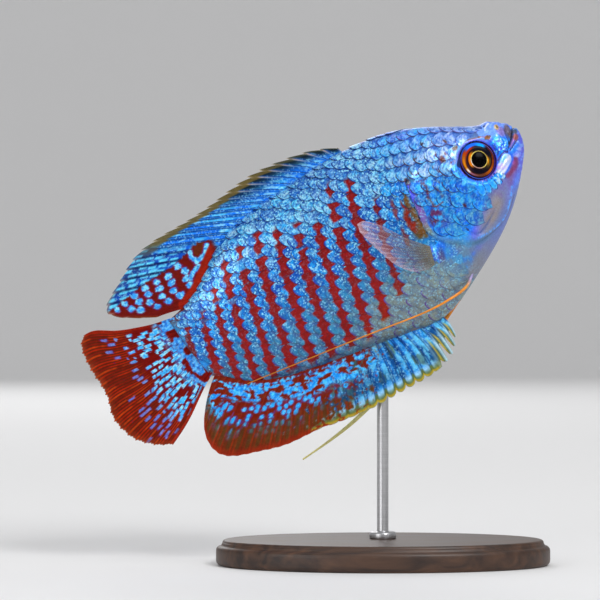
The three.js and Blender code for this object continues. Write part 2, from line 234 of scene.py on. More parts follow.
NOSTRIL = (2.1, 4.98)


def eye_rho(u, h):
    return np.sqrt(((u - EYE_U) / EYE_RU) ** 2 + ((h - EYE_H) / EYE_RH) ** 2)


def gill_raise(u, h):
    d, t, side = line_info(u, h, GILL_REAR, 48)
    fade = smooth(t, 0.0, 0.1) * (1 - smooth(t, 0.86, 1.0))
    inside = side < 0
    rise = (0.27 - 0.21 * smooth(t, 0.40, 0.56)) * smooth(d, 0.0, 0.16) * np.exp(-np.maximum(d - 0.4, 0) / 3.2)
    return np.where(inside, rise * fade, 0), np.where(inside, 0, -0.10 * bell(d, 0.28) * fade)


def relief(u, h):
    """How far the skin stands out of the plain body form, in mm, on either side."""
    z = np.zeros_like(u)
    near = (u < 24)
    uu, hh = u[near], h[near]
    v = np.zeros_like(uu)
    tip = smooth(np.hypot(uu - 0.2, hh - 3.4), 0.15, 0.9)      # the folds fade out towards the very tip
    d, t, side = line_info(uu, hh, CLEFT)
    v += -0.42 * bell(d, 0.13) * (1 - 0.7 * smooth(t, 0.55, 1.0)) * (0.45 + 0.55 * tip)
    v += 0.12 * bell(d - 0.40, 0.22) * (1 - smooth(t, 0.7, 0.95)) * tip
    d, t, side = line_info(uu, hh, LOWER_LIP)
    v += -0.20 * bell(d, 0.16) * smooth(t, 0.0, 0.25) * (1 - 0.5 * smooth(t, 0.8, 1.0))
    d, t, side = line_info(uu, hh, LIP_FOLD)
    v += (-0.16 * bell(d, 0.13) + 0.10 * bell(d - 0.34, 0.2)) * smooth(t, 0.0, 0.2)
    d, t, side = line_info(uu, hh, SNOUT_FOLD)
    v += -0.11 * bell(d, 0.2) * smooth(t, 0.0, 0.3)
    d, t, side = line_info(uu, hh, INNER_FOLD)
    v += -0.09 * bell(d, 0.09) * smooth(t, 0.0, 0.3) * (1 - smooth(t, 0.7, 1.0))
    d, t, side = line_info(uu, hh, CORNER_FOLD)
    v += -0.16 * bell(d, 0.16) * (1 - smooth(t, 0.6, 1.0))
    # ridges of the pale streak under the eye
    d, t, side = line_info(uu, hh, STREAK, 16)
    on = (1 - smooth(d, 0.55, 0.95)) * smooth(t, 0.0, 0.1)
    v += on * (0.05 + 0.05 * np.sin(9.0 * (0.35 * uu + 0.95 * hh) + 3.0 * (fbm(uu * 1.1, hh * 1.1, 16) - 0.5)))
    d, t, side = line_info(uu, hh, JAW_CREASE)
    v += -0.15 * bell(d, 0.3) * (1 - smooth(t, 0.7, 1.0))
    d, t, side = line_info(uu, hh, CHIN_FOLD)
    v += -0.12 * bell(d, 0.24) * smooth(t, 0, 0.2) * (1 - smooth(t, 0.7, 1.0))
    d, t, side = line_info(uu, hh, MANDIBLE)
    v += 0.17 * bell(d, 0.3) * smooth(t, 0, 0.1) * (1 - smooth(t, 0.85, 1.0))
    d, t, side = line_info(uu, hh, PREOPERCLE)
    v += -0.09 * bell(d, 0.2) * smooth(t, 0, 0.1) * (1 - smooth(t, 0.9, 1.0)) + 0.08 * bell(d - 0.5, 0.5)
    d, t, side = line_info(uu, hh, FEELER_GROOVE)
    v += -0.2 * bell(d, 0.3) * smooth(t, 0, 0.3)
    r = np.hypot((uu - NOSTRIL[0]) * 1.15, (hh - NOSTRIL[1]) * 0.85)
    v += 0.13 * (1 - smooth(r, 0.28, 0.5)) - 0.22 * bell(np.hypot((uu - NOSTRIL[0] + 0.09) * 1.6, (hh - NOSTRIL[1]) * 0.6), 0.14)
    v += -0.16 * bell(np.hypot((uu - 3.7) * 0.7, hh - 6.05), 0.13)
    r = np.hypot((uu - 20.6) / 0.85, (hh + 7.1) / 1.5)
    v += 0.5 * bell(r, 1.0)
    rho = eye_rho(uu, hh)
    v += 0.04 * bell(rho - 1.07, 0.04)
    q, which = small_scales(uu, hh)
    v += (0.07 * (1 - 0.6 * q ** 2) - 0.05 * bell(q - 1.0, 0.09)) * (which > 0)
    # snout: a dip before the upper lip's roll; fine beading of the face
    v += -0.16 * bell(np.hypot(uu - 1.12, (hh - 5.15) * 0.8), 0.34) + 0.10 * bell(np.hypot(uu - 0.55, hh - 4.5), 0.36)
    v += 0.24 * bell(np.hypot(uu - 3.2, (hh - 6.3) * 1.2), 0.75) - 0.16 * bell(np.hypot(uu - 0.0, hh - 3.6), 0.22)
    v += 0.09 * (fbm(uu * 3.0, hh * 3.0, 15, 2) - 0.5) * smooth(6.5 - uu, 0, 2.5) * smooth(eye_rho(uu, hh), 1.05, 1.2)
    # small folds round the jaw and throat
    v += 0.035 * (fbm(uu * 1.6, hh * 1.6, 5) - 0.5) * smooth(12 - uu, 0, 6)
    rise, dip = gill_raise(uu, hh)
    z[near] = v + dip
    g = np.zeros_like(u)
    g[near] = rise
    z += 0.05 * (fbm(u * 0.35, h * 0.35, 9) - 0.5)
    return z, g


RIM_Y, RIM_LEAN = 3.50, 0.24                    # how far out the orbit's rim lies, and how it follows the head's taper


def socket(u, h, y):
    """Lets the skin run down to the orbit's rim and into the socket. y is the distance from the mid plane."""
    rho = eye_rho(u, h)
    w = smooth(-rho, -1.30, -1.02)
    rim = RIM_Y + RIM_LEAN * (u - EYE_U)
    out = y * (1 - w) + np.minimum(y, rim) * w
    inside = rim - 0.10 - (1 - rho) * 11.0
    return np.where(rho < 1.0, np.maximum(np.minimum(out, inside), 2.1), out)


def skin_surface(s, phi, lift=0.0, with_gill=None):
    """A point of the skin on the left side (y >= 0) and its outward normal, lift mm above the skin."""
    e = 2e-4
    p0 = np.stack(body_point(s, phi, -COAT), -1)
    ds = np.where(s > 0.5, -e, e)
    ps = np.stack(body_point(s + ds, phi, -COAT), -1) - p0
    ps *= np.sign(ds)[..., None]
    dp = np.where(np.cos(phi) < 0, -1e-3, 1e-3)
    pp = np.stack(body_point(s, phi + dp, -COAT), -1) - p0
    pp *= np.sign(dp)[..., None]
    n = np.cross(pp, ps)
    n /= np.maximum(np.linalg.norm(n, axis=-1, keepdims=True), 1e-12)
    out = np.sign(np.sum(n * (p0 - np.stack([p0[..., 0], np.zeros_like(s) - 0.5, np.zeros_like(s)], -1)), -1, keepdims=True))
    n = n * np.where(out == 0, 1, out)
    z, g = relief(*seen(p0[..., 0], p0[..., 1], p0[..., 2]))
    if with_gill is not None:
        g = g * with_gill
    p = p0 + n * (z + g)[..., None]
    side = np.sign(p[..., 1 + 1])
    a = socket(*seen(p[..., 0], p[..., 1], p[..., 2]), np.abs(p[..., 2]))
    p[..., 2] = np.where(side == 0, p[..., 2], side * a)
    return p + n * np.asarray(lift)[..., None] if np.ndim(lift) else p + n * lift, n, p0


SMALL_ROW = [(5.55, -1.75, 0.44, 0.95, -50), (6.3, -2.05, 0.47, 0.98, -30), (7.15, -2.2, 0.52, 1.02, -12), (8.1, -2.2, 0.55, 1.06, 2), (9.1, -2.15, 0.58, 1.08, 8)]
STREAK = [(3.2, -0.05), (3.7, -0.3), (4.5, -0.8), (5.4, -1.25), (6.6, -1.3)]


def small_scales(u, h):
    """The row of small scales under the eye, each laid over the last: radius share within its scale (1 at the rim) and its number."""
    q, which = np.full(u.shape, 9.0), np.zeros(u.shape)
    for i, (u0, h0, ru, rh, tilt) in enumerate(SMALL_ROW):
        t = math.radians(tilt)
        x, y = (u - u0) * math.cos(t) + (h - h0) * math.sin(t), -(u - u0) * math.sin(t) + (h - h0) * math.cos(t)
        r = np.sqrt((x / ru) ** 2 + (np.abs(y) / rh) ** 2.4)
        inside = r < 1.08
        q, which = np.where(inside, r, q), np.where(inside, i + 1, which)
    return q, which


# ------------------------------------------------------------------ colours of the body (sRGB)
BARS = [  # place along the body, top, bottom, half width, strength
    (26.05, 5.6, -10.0, 0.50, 0.95), (29.3, 10.6, -12.2, 0.60, 1.0), (32.6, 11.4, -13.4, 0.60, 1.0), (35.85, 9.0, -13.0, 0.60, 1.0),
    (39.2, 8.6, -12.6, 0.63, 1.0), (42.5, 9.6, -12.0, 0.63, 1.0), (45.85, 10.6, -11.4, 0.64, 1.0), (49.0, 10.4, -10.8, 0.62, 1.0),
    (51.95, 9.8, -10.4, 0.60, 1.0), (54.7, 6.8, -9.6, 0.58, 1.0), (57.5, 4.4, -8.0, 0.62, 1.0), (60.4, 4.9, -5.2, 0.62, 0.95)]


def column(u, h):
    return u + 0.26 * h + 0.002 * h * h


def body_base(u, h, seed=0):
    """Zones of colour, without bars and scale rims. Returns colour and sparkle."""
    n1 = fbm(u * 0.45, h * 0.45, 11 + seed)
    n2 = fbm(u * 1.3 + 7, h * 1.3, 23 + seed)
    n3 = fbm(u * 3.1, h * 3.1 + 5, 37 + seed)
    wob = (n1 - 0.5) * 5
    col = np.zeros(u.shape + (3,)) + rgb(45, 146, 232)
    # back: paler, lavender at the nape
    col = mix(col, rgb(112, 200, 250), smooth(h + wob * 0.6, 3.5, 9.0))
    col = mix(col, rgb(134, 182, 250), smooth(h + wob * 0.4, 8.5, 12.5) * (1 - smooth(u, 24, 40)))
    col = mix(col, rgb(96, 186, 250), smooth(h, 9.5, 12.5) * smooth(u, 30, 42))
    # lower flank: grey blue, then beige belly
    low = smooth(-(h + wob), 2.0, 8.5)
    col = mix(col, rgb(108, 146, 180), low * 0.85 * smooth(u, 18, 24))
    col = mix(col, rgb(62, 150, 170), low * 0.5 * smooth(n2, 0.45, 0.65) * smooth(u, 18, 24))
    deep = smooth(-(h + wob * 0.5), 8.5, 13.0)
    col = mix(col, rgb(150, 144, 146), deep * 0.85 * (1 - smooth(u, 36, 50)))
    col = mix(col, rgb(126, 138, 170), deep * 0.8 * smooth(u, 34, 48))
    col = mix(col, rgb(168, 138, 110), smooth(-h, 11.0, 14.5) * (1 - smooth(np.abs(u - 29), 3.5, 7)) * 0.5)
    # tail root: brighter
    col = mix(col, rgb(86, 172, 246), smooth(u, 46, 56) * smooth(h + wob, -6, 3) * 0.65)
    sparkle = 0.35 + 0.65 * smooth(h + wob, -9, 1)
    sparkle = sparkle * (0.25 + 0.75 * smooth(u, 18, 22)) * smooth(u, 8, 16) + 0.12

    # head
    cheek = 1 - smooth(u, 19.0, 20.6)
    col = mix(col, rgb(14, 128, 238), cheek * smooth(-(h + wob * 0.3), -5.2, -3.0))
    col = mix(col, rgb(70, 176, 255), cheek * smooth(n2, 0.5, 0.66) * 0.6)
    col = mix(col, rgb(6, 88, 204), cheek * smooth(-n2, -0.42, -0.3) * 0.6)
    # pale patch between eye and gill top, and the top of the head
    pale = blob(u, h, 13.9, 6.3, 5.4, 3.0, 10, 0.35)
    col = mix(col, rgb(150, 186, 244), pale * 0.9)
    # white blobs over the pale patch: painted highlights
    for (pu, ph, pa, pb, pt) in ((14.8, 5.7, 1.0, 1.6, 0), (12.9, 7.4, 0.9, 1.3, 15), (16.6, 6.5, 0.9, 0.9, 0), (11.2, 7.3, 0.9, 1.2, 0), (11.0, 4.6, 1.0, 1.4, 0),
                                 (13.0, 5.2, 0.8, 1.2, 0), (16.4, 4.7, 0.8, 0.6, 0), (15.9, 8.6, 0.8, 0.9, 0)):
        col = mix(col, rgb(206, 214, 248), blob(u, h, pu, ph, pa, pb, pt, 0.5) * 0.75)
    col = mix(col, rgb(196, 170, 226), blob(u, h, 10.6, 4.3, 0.7, 1.0, 20, 0.6) * 0.6)
    top = smooth(h - 0.42 * u, 2.2, 4.2) * (1 - smooth(u, 17, 24))
    col = mix(col, rgb(104, 150, 234), top * 0.85)
    col = mix(col, rgb(138, 164, 236), blob(u, h, 6.4, 7.0, 3.6, 1.5, 32, 0.5) * 0.8)
    col = mix(col, rgb(128, 110, 170), blob(u, h, 16.2, 11.8, 1.3, 0.8, 20, 0.6) * 0.5)
    # snout
    snout = 1 - smooth(u + 0.22 * h, 2.7, 3.7)
    col = mix(col, rgb(112, 146, 232), (1 - smooth(u + 0.1 * h, 4.6, 6.4)) * smooth(h, 3.4, 4.4))
    col = mix(col, rgb(150, 186, 250), (1 - smooth(u + 0.1 * h, 4.2, 5.6)) * smooth(h, 4.2, 5.0) * smooth(n3, 0.5, 0.66) * 0.8)
    col = mix(col, rgb(232, 240, 255), line_on(u, h, [(3.75, 5.75), (3.3, 5.95), (2.9, 6.0)], 0.10) * 0.9)
    col = mix(col, rgb(226, 232, 255), np.maximum(blob(u, h, 3.85, 5.5, 0.13, 0.13), blob(u, h, 2.7, 3.85, 0.16, 0.14)) * 0.85)
    col = mix(col, rgb(104, 84, 178), blob(u, h, 3.95, 3.7, 0.5, 0.35, 0, 0.5) * 0.6)
    col = mix(col, rgb(128, 108, 158), blob(u, h, 1.8, 4.0, 0.6, 0.95, -8, 0.4) * 0.85)
    col = mix(col, rgb(104, 88, 98), blob(u, h, 0.85, 3.55, 0.42, 1.05, 4, 0.35) * 0.9)
    col = mix(col, rgb(74, 58, 62), blob(u, h, 1.02, 2.75, 0.3, 0.62, 10, 0.5) * 0.8)
    col = mix(col, rgb(96, 132, 232), blob(u, h, 0.25, 4.15, 0.2, 0.7, 0, 0.5) * 0.7)
    patch = blob(u, h, 3.1, 2.3, 1.25, 1.3, 0, 0.25)
    col = mix(col, rgb(10, 112, 240), patch)
    col = mix(col, rgb(64, 176, 255), patch * smooth(n3, 0.54, 0.66))
    col = mix(col, rgb(70, 62, 168), patch * smooth(-n3, -0.42, -0.30) * 0.85)
    col = mix(col, rgb(70, 50, 140), line_on(u, h, [(4.1, 1.25), (3.7, 1.7), (3.3, 2.3)], 0.12) * 0.7)
    # jaw, chin and throat
    chin = smooth(-(h + 0.62 * u), -2.6, -1.0) * (1 - smooth(u, 13.5, 17.5))
    chin = np.maximum(chin, (1 - smooth(u + 0.45 * h, 1.3, 2.3)) * (h < 2.8) * 1.0)
    col = mix(col, rgb(104, 110, 206), chin)
    col = mix(col, rgb(60, 136, 240), blob(u, h, 1.35, 0.75, 1.1, 0.55, -22, 0.5) * 0.8)
    col = mix(col, rgb(140, 176, 240), chin * smooth(n3, 0.53, 0.64) * (1 - smooth(u, 4, 8)) * 0.8)
    col = mix(col, rgb(196, 206, 250), (blob(u, h, 1.45, -0.5, 0.4, 0.3, 20, 0.6) + blob(u, h, 0.7, 0.25, 0.25, 0.35, 0, 0.6)) * 0.6)
    beige = blob(u, h, 8.6, -5.4, 5.0, 1.7, -37, 0.5)
    col = mix(col, rgb(124, 128, 156), beige * 0.9)
    col = mix(col, rgb(110, 104, 158), beige * smooth(n2, 0.5, 0.62) * 0.7)
    col = mix(col, rgb(136, 134, 140), blob(u, h, 10.2, -7.2, 3.2, 1.2, -30, 0.6) * 0.7)
    col = mix(col, rgb(152, 140, 128), blob(u, h, 8.2, -5.0, 1.4, 0.8, -40, 0.8) * 0.6)
    col = mix(col, rgb(150, 136, 124), blob(u, h, 10.0, -6.6, 0.9, 0.7, 0, 0.8) * 0.5)
    col = mix(col, rgb(126, 88, 132), blob(u, h, 3.6, -2.9, 1.7, 0.8, -45, 0.6) * 0.6)
    col = mix(col, rgb(122, 62, 96), (1 - smooth(line_info(u, h, [(2.05, -0.8), (2.5, -1.55), (3.4, -2.05), (4.5, -2.35)], 12)[0], 0.15, 0.6)) * 0.85)
    col = mix(col, rgb(176, 92, 160), blob(u, h, 2.6, -0.95, 0.3, 0.4, 0, 0.6) * 0.5)
    col = mix(col, rgb(96, 140, 238), blob(u, h, 4.2, -4.6, 2.6, 0.6, -50, 0.6) * 0.7)
    throat = smooth(-(h + 0.55 * (u - 13)), 8.7, 10.0) * (1 - smooth(u, 17, 26))
    col = mix(col, rgb(108, 122, 168), throat * 0.9)
    col = mix(col, rgb(134, 132, 136), throat * blob(u, h, 19.0, -12.4, 6.5, 3.0, -18, 0.6) * 0.9)
    # white streak under the eye, small blue scales after it
    dw, tw, sw = line_info(u, h, STREAK, 16)
    wide = 0.78 - 0.40 * smooth(tw, 0.45, 1.0)
    col = mix(col, rgb(40, 110, 226), (1 - smooth(dw, wide + 0.1, wide + 0.5)) * 0.7)
    white = 1 - smooth(dw, wide - 0.1, wide + 0.12)
    ridge = 0.5 + 0.5 * np.sin(9.0 * (0.35 * u + 0.95 * h) + 3.0 * (fbm(u * 1.1, h * 1.1, 16) - 0.5))
    col = mix(col, rgb(232, 234, 252), white * (0.72 + 0.28 * ridge))
    col = mix(col, rgb(150, 216, 252), white * blob(u, h, 3.7, 0.25, 0.75, 0.35, -20, 0.5) * 0.8)
    col = mix(col, rgb(206, 150, 220), white * (1 - ridge) * smooth(n2, 0.44, 0.6) * 0.75)
    col = mix(col, rgb(226, 236, 255), line_on(u, h, [(5.4, -1.05), (6.4, -1.22), (7.6, -1.2), (8.4, -0.98)], 0.11) * 0.9)
    q, which = small_scales(u, h)
    inrow = (which > 0) * 1.0
    tone_row = 0.5 + 0.5 * np.sin(which * 2.3 + 1.0)
    sc = mix(np.zeros(u.shape + (3,)) + rgb(22, 128, 240), rgb(70, 176, 252), tone_row * 0.5 + 0.5 * smooth(n3, 0.5, 0.65))
    sc = mix(sc, rgb(216, 236, 255), smooth(n3, 0.44, 0.6) * smooth(-u, -7.4, -5.8) * 0.85)
    sc = mix(sc, rgb(150, 216, 255), bell(q - 0.82, 0.08) * smooth(-(h + 2.2), -0.2, 0.6) * 0.8)
    sc = mix(sc, rgb(12, 30, 110), smooth(q, 0.90, 1.0))
    col = mix(col, sc, inrow)
    # ring of purple round the eye
    rho = eye_rho(u, h)
    col = mix(col, rgb(96, 80, 206), bell(rho - 1.055, 0.035) * 0.85)
    col = mix(col, rgb(176, 130, 190), bell(rho - 1.10, 0.03) * smooth(h, 2.5, 4.5) * 0.5)
    col = mix(col, rgb(52, 12, 40), 1 - smooth(rho, 1.01, 1.03))
    # smooth band along the gill cover's rear edge
    d, t, side = line_info(u, h, GILL_REAR, 36)
    band = (side < 0) * (1 - smooth(d, 0.65, 1.0)) * smooth(t, 0.09, 0.13)
    upper = 1 - smooth(t, 0.27, 0.36)
    lower = smooth(t, 0.36, 0.46)
    bandcol = mix(np.zeros(u.shape + (3,)) + rgb(132, 116, 130), rgb(84, 84, 214), upper)
    bandcol = mix(bandcol, rgb(152, 92, 132), bell(t - 0.27, 0.06) * 0.8)
    bandcol = mix(bandcol, rgb(146, 132, 92), bell(t - 0.40, 0.045) * 0.8)
    bandcol = mix(bandcol, rgb(92, 128, 140), smooth(t, 0.5, 0.6))
    col = mix(col, bandcol, band * (0.9 - 0.45 * lower) * (1 - 0.85 * smooth(t, 0.55, 0.68)))
    col = mix(col, rgb(140, 60, 84), (side < 0) * bell(d - 0.95, 0.16) * smooth(t, 0.13, 0.17) * (1 - smooth(t, 0.3, 0.36)) * 0.7)
    # painted shade in the groove just outside the gill cover's rear edge
    edge_groove_shade = (side > 0) * (1 - smooth(d, 0.0, 0.22)) * smooth(t, 0.05, 0.12)
    col = mix(col, rgb(44, 40, 76), edge_groove_shade * 0.6)
    # the crease under the cover: a grey green painted shadow line under the cover's lower edge
    col = mix(col, rgb(62, 110, 128), bell(t - 0.62, 0.12) * bell(d - 0.1, 0.45) * 0.85)
    col = mix(col, rgb(48, 158, 240), blob(u, h, 17.4, -9.4, 3.2, 1.0, -30, 0.5) * smooth(n2, 0.42, 0.6) * 0.8)
    # mandible line
    d2, t2, s2 = line_info(u, h, MANDIBLE, 20)
    col = mix(col, rgb(110, 170, 250), bell(d2, 0.14) * smooth(t2, 0.0, 0.08) * (1 - smooth(t2, 0.9, 1.0)) * smooth(n3, 0.3, 0.6))
    # maroon patch of the cover, orange and olive behind it
    col = mix(col, rgb(92, 26, 62), blob(u, h, 17.3, -2.3, 1.3, 1.7, 8, 0.5) * smooth(fbm(u * 1.9, h * 1.9, 97), 0.38, 0.5) * 0.95)
    col = mix(col, rgb(130, 50, 40), np.maximum(line_on(u, h, [(16.9, 1.6), (16.8, 0.6), (16.6, -0.5)], 0.2), line_on(u, h, [(16.1, 3.4), (16.4, 2.4), (16.8, 1.8)], 0.2)) * 0.8)
    col = mix(col, rgb(96, 70, 160), blob(u, h, 16.2, -3.9, 0.8, 1.0, 8, 0.6) * 0.5)
    strip, ts, ss = line_info(u, h, [(19.9, 2.6), (20.0, 0.6), (20.2, -1.2), (20.7, -3.6)], 12)
    col = mix(col, rgb(128, 92, 14), (side > 0) * (1 - smooth(strip, 0.34, 0.6)))
    # pectoral base
    lobe = blob(u, h, 20.6, -7.1, 1.0, 1.7, 0, 0.4)
    col = mix(col, rgb(92, 104, 208), lobe * 0.8)
    col = mix(col, rgb(56, 168, 244), lobe * smooth(n3, 0.52, 0.66) * 0.9)
    col = mix(col, rgb(60, 30, 72), blob(u, h, 19.7, -7.9, 0.5, 1.3, 20, 0.6) * 0.7)
    # lips
    dc, tc, sc_ = line_info(u, h, CLEFT, 24)
    col = mix(col, rgb(160, 112, 164), line_on(u, h, [(0.75, 2.0), (1.2, 1.75), (1.75, 1.35)], 0.2) * 0.8)
    col = mix(col, rgb(72, 72, 88), blob(u, h, 0.02, 2.98, 0.4, 0.38, 0, 0.4) * 0.9)
    col = mix(col, rgb(142, 84, 86), blob(u, h, 0.33, 2.14, 0.42, 0.52, 20, 0.35) * 0.95)
    col = mix(col, rgb(180, 118, 112), blob(u, h, 0.28, 2.3, 0.16, 0.2, 0, 0.6) * 0.6)
    # dark lines along the lower lip, the mouth's cleft and the lip folds: painted shade in the creases
    dl, tl, sl = line_info(u, h, LOWER_LIP, 16)
    col = mix(col, rgb(62, 42, 44), bell(dl, 0.11) * smooth(tl, 0.05, 0.3) * 0.85)
    col = mix(col, rgb(30, 20, 30), bell(dc, 0.10) * (1 - 0.6 * smooth(tc, 0.6, 1.0)))
    df, tf, sf = line_info(u, h, LIP_FOLD, 18)
    col = mix(col, rgb(62, 48, 72), bell(df, 0.10) * smooth(tf, 0.1, 0.3) * 0.75)
    di, ti, si = line_info(u, h, INNER_FOLD, 12)
    col = mix(col, rgb(48, 36, 58), bell(di, 0.07) * smooth(ti, 0.0, 0.3) * 0.8)
    dj, tj, sj = line_info(u, h, CORNER_FOLD, 12)
    col = mix(col, rgb(76, 28, 66), bell(dj, 0.13) * 0.9)
    # nostrils: a beige cell with a pale painted highlight beside its slit and painted shade in the slit, then the
    # second nostril
    r = np.hypot((u - NOSTRIL[0]) * 1.15, (h - NOSTRIL[1]) * 0.85)
    col = mix(col, rgb(186, 158, 116), 1 - smooth(r, 0.28, 0.46))
    col = mix(col, rgb(236, 224, 200), blob(u, h, NOSTRIL[0] + 0.2, NOSTRIL[1] + 0.05, 0.13, 0.26, 10, 0.5) * 0.8)
    col = mix(col, rgb(50, 42, 20), bell(np.hypot((u - NOSTRIL[0] + 0.09) * 1.6, (h - NOSTRIL[1]) * 0.6), 0.13))
    col = mix(col, rgb(92, 76, 96), bell(np.hypot((u - 3.7) * 0.6, h - 6.08), 0.12) * 0.9)
    # brown freckles
    for (bu, bh, br, bt, c) in ((4.2, 4.42, 0.40, -20, (104, 62, 8)), (3.9, 4.22, 0.38, -30, (100, 58, 8)), (9.28, 5.5, 0.52, -20, (140, 84, 8)),
                                (18.42, 4.85, 0.62, 75, (92, 34, 14)), (11.85, 4.95, 0.5, 70, (140, 44, 30)), (11.15, 5.5, 0.28, 60, (176, 50, 20)),
                                (11.1, 3.8, 0.26, 0, (190, 70, 40)), (12.55, -2.85, 0.38, 80, (110, 24, 44)), (15.4, 7.25, 0.3, 20, (100, 34, 34)),
                                (13.8, 5.85, 0.26, 80, (110, 40, 40)), (12.45, 6.1, 0.24, 80, (110, 40, 40)), (13.4, 8.9, 0.36, 10, (90, 44, 30)),
                                (10.05, 7.3, 0.3, 70, (170, 110, 60)), (6.85, 6.5, 0.24, 20, (120, 40, 70)), (5.15, 5.05, 0.24, 20, (150, 100, 50))):
        col = mix(col, rgb(*c), blob(u, h, bu, bh, br, br * 0.66, bt, 0.3) * 0.92)
    d4, t4, s4 = line_info(u, h, [(4.3, 4.55), (5.0, 4.95), (6.0, 5.3), (7.1, 5.6), (8.2, 5.45)], 12)
    col = mix(col, rgb(166, 104, 74), bell(d4, 0.13) * 0.6 * (0.5 + n3))
    # preopercle lines
    d5, t5, s5 = line_info(u, h, PREOPERCLE, 24)
    col = mix(col, rgb(8, 40, 120), bell(d5, 0.13) * 0.45 * smooth(t5, 0.0, 0.1) * (1 - smooth(t5, 0.75, 1.0)))
    headflat = 1 - smooth(u, 17, 21)
    sparkle = sparkle * (1 - 0.6 * chin * headflat) * (1 - 0.6 * snout)
    glitter = np.maximum(patch, np.maximum(lobe, blob(u, h, 17.6, -8.6, 2.6, 1.1, -35, 0.5)))
    sparkle = np.maximum(sparkle, glitter * 0.9)
    return col, sparkle


def bars_at(p, h, width_gain=1.0, seed=0, carries=None):
    """How much of the dark red bars shows, from 0 to 1, and how orange it is. carries is 1 on scales whose fronts carry a
    bar, which then runs on under the scales before them, and 0 on the others."""
    cover, warm = np.zeros_like(p), np.zeros_like(p)
    for i, (pc, top, bottom, hw, strength) in enumerate(BARS):
        wave = -0.25 * smooth(h, 2.0, 7.5) + 0.16 * (noise(h * 0.55 + 3.1 * i, i * 5.0 + 0.5 + 0 * h, 71 + seed) - 0.5) * 2
        vary = 0.86 + 0.28 * noise(h * 0.9 + 1.7 * i, 40.0 + i * 3 + 0 * h, 72 + seed)
        thin = 0.50 + 0.50 * smooth(top - h, 0, 6.5)
        w = hw * vary * thin * width_gain
        end = smooth(top - h, -0.3, 0.9) * smooth(h - bottom, -0.4, 0.8)
        gap = 1 - 0.75 * smooth(noise(h * 0.8 + 9.1 * i, 80.0 + i * 7 + 0 * h, 73 + seed), 0.74, 0.84) * smooth(h, 1.0, 4.0)
        if carries is None:
            c = 1 - smooth(np.abs(p - pc - wave), w - 0.13, w + 0.13)
        else:
            wander = 0.32 * (noise(h * 0.55 + 3.1 * i, i * 5.0 + 0.5 + 0 * h, 71 + seed) - 0.5)
            front = -1.14 + 0.3 * (noise(h * 1.1 + 2.3 * i, i * 7.0 + 2.5 + 0 * h, 77 + seed) - 0.5)
            c = (1 - smooth(p - pc - wander - (2 * w - 0.50), -0.11, 0.11)) * smooth(p - pc - front, -0.10, 0.10) * carries
        c = c * end * strength * gap
        cover = np.maximum(cover, c)
        lo = smooth(-h, 5.0, 12.5) * (1 - smooth(pc, 26.0, 40.0))
        warm = np.where(c > 0.02, np.maximum(warm, lo), warm)
    return cover, warm


def front_patches(u, h, seed=0):
    """The orange, brown and dark red blotches behind the gill cover."""
    n = fbm(u * 1.1, h * 1.1, 61 + seed)
    w = np.maximum(blob(u, h, 21.1, -0.6, 0.85, 1.9, 6, 0.3), blob(u, h, 20.8, 1.7, 0.26, 1.2, 0, 0.4)) * smooth(n, 0.26, 0.36)
    brown = np.maximum(blob(u, h, 20.9, -3.0, 1.1, 1.1, 0, 0.35) * smooth(n, 0.22, 0.34), line_on(u, h, [(19.75, 3.5), (20.0, 2.0), (20.05, 0.0), (20.15, -2.0), (20.3, -4.0)], 0.3))
    w2 = np.maximum(blob(u, h, 22.4, 2.2, 0.42, 1.8, 14, 0.4), blob(u, h, 23.1, -2.4, 0.55, 2.0, 10, 0.4)) * smooth(n, 0.34, 0.46)
    return w, w2, brown


RED, ORANGE = rgb(112, 2, 0), rgb(136, 56, 2)


def vivid(col, gain=1.34, lift=0.0):
    grey = (col * np.array([0.3, 0.55, 0.15])).sum(-1, keepdims=True)
    return np.clip(grey + (col - grey) * gain + lift, 0.01, 1.0)


def body_colour(u, h, p_eff, seed=0, carries=None):
    col, sparkle = body_base(u, h, seed)
    cover, warm = bars_at(p_eff, h, 1.0, seed, carries)
    red = mix(np.zeros(u.shape + (3,)) + RED, ORANGE, warm)
    red = mix(red, rgb(138, 22, 0), smooth(fbm(u * 2.2, h * 2.2, 91 + seed), 0.5, 0.75) * 0.7)
    red = mix(red, rgb(96, 2, 4), smooth(fbm(u * 1.4, h * 1.4, 93 + seed), 0.5, 0.7) * 0.6)
    col = mix(col, red, cover)
    w, w2, brown = front_patches(u, h, seed)
    behind = smooth(u, 19.4, 19.7)
    col = mix(col, rgb(104, 66, 4), brown * 0.9 * behind)
    col = mix(col, rgb(118, 30, 0), w * 0.98 * behind)
    col = mix(col, rgb(142, 52, 2), w * behind * smooth(fbm(u * 2.6, h * 2.6, 95), 0.52, 0.66) * 0.7)
    col = mix(col, rgb(140, 30, 16), w2 * 0.85)
    # net of red between the scales near the tail root's top and bottom
    col = vivid(col)
    tailred = smooth(u, 55, 59) * smooth(np.abs(h - 0.2), 3.6, 5.4)
    col = mix(col, rgb(158, 34, 8), tailred * 0.6)
    mar = blob(u, h, 17.3, -2.3, 1.3, 1.7, 8, 0.5) * 0.85 * smooth(fbm(u * 1.9, h * 1.9, 97), 0.38, 0.5)
    keep = np.maximum(np.maximum(cover, w * behind), np.maximum(np.maximum(0.9 * brown * behind, 0.8 * w2), mar))
    return col, sparkle * (1 - keep * 0.95), keep


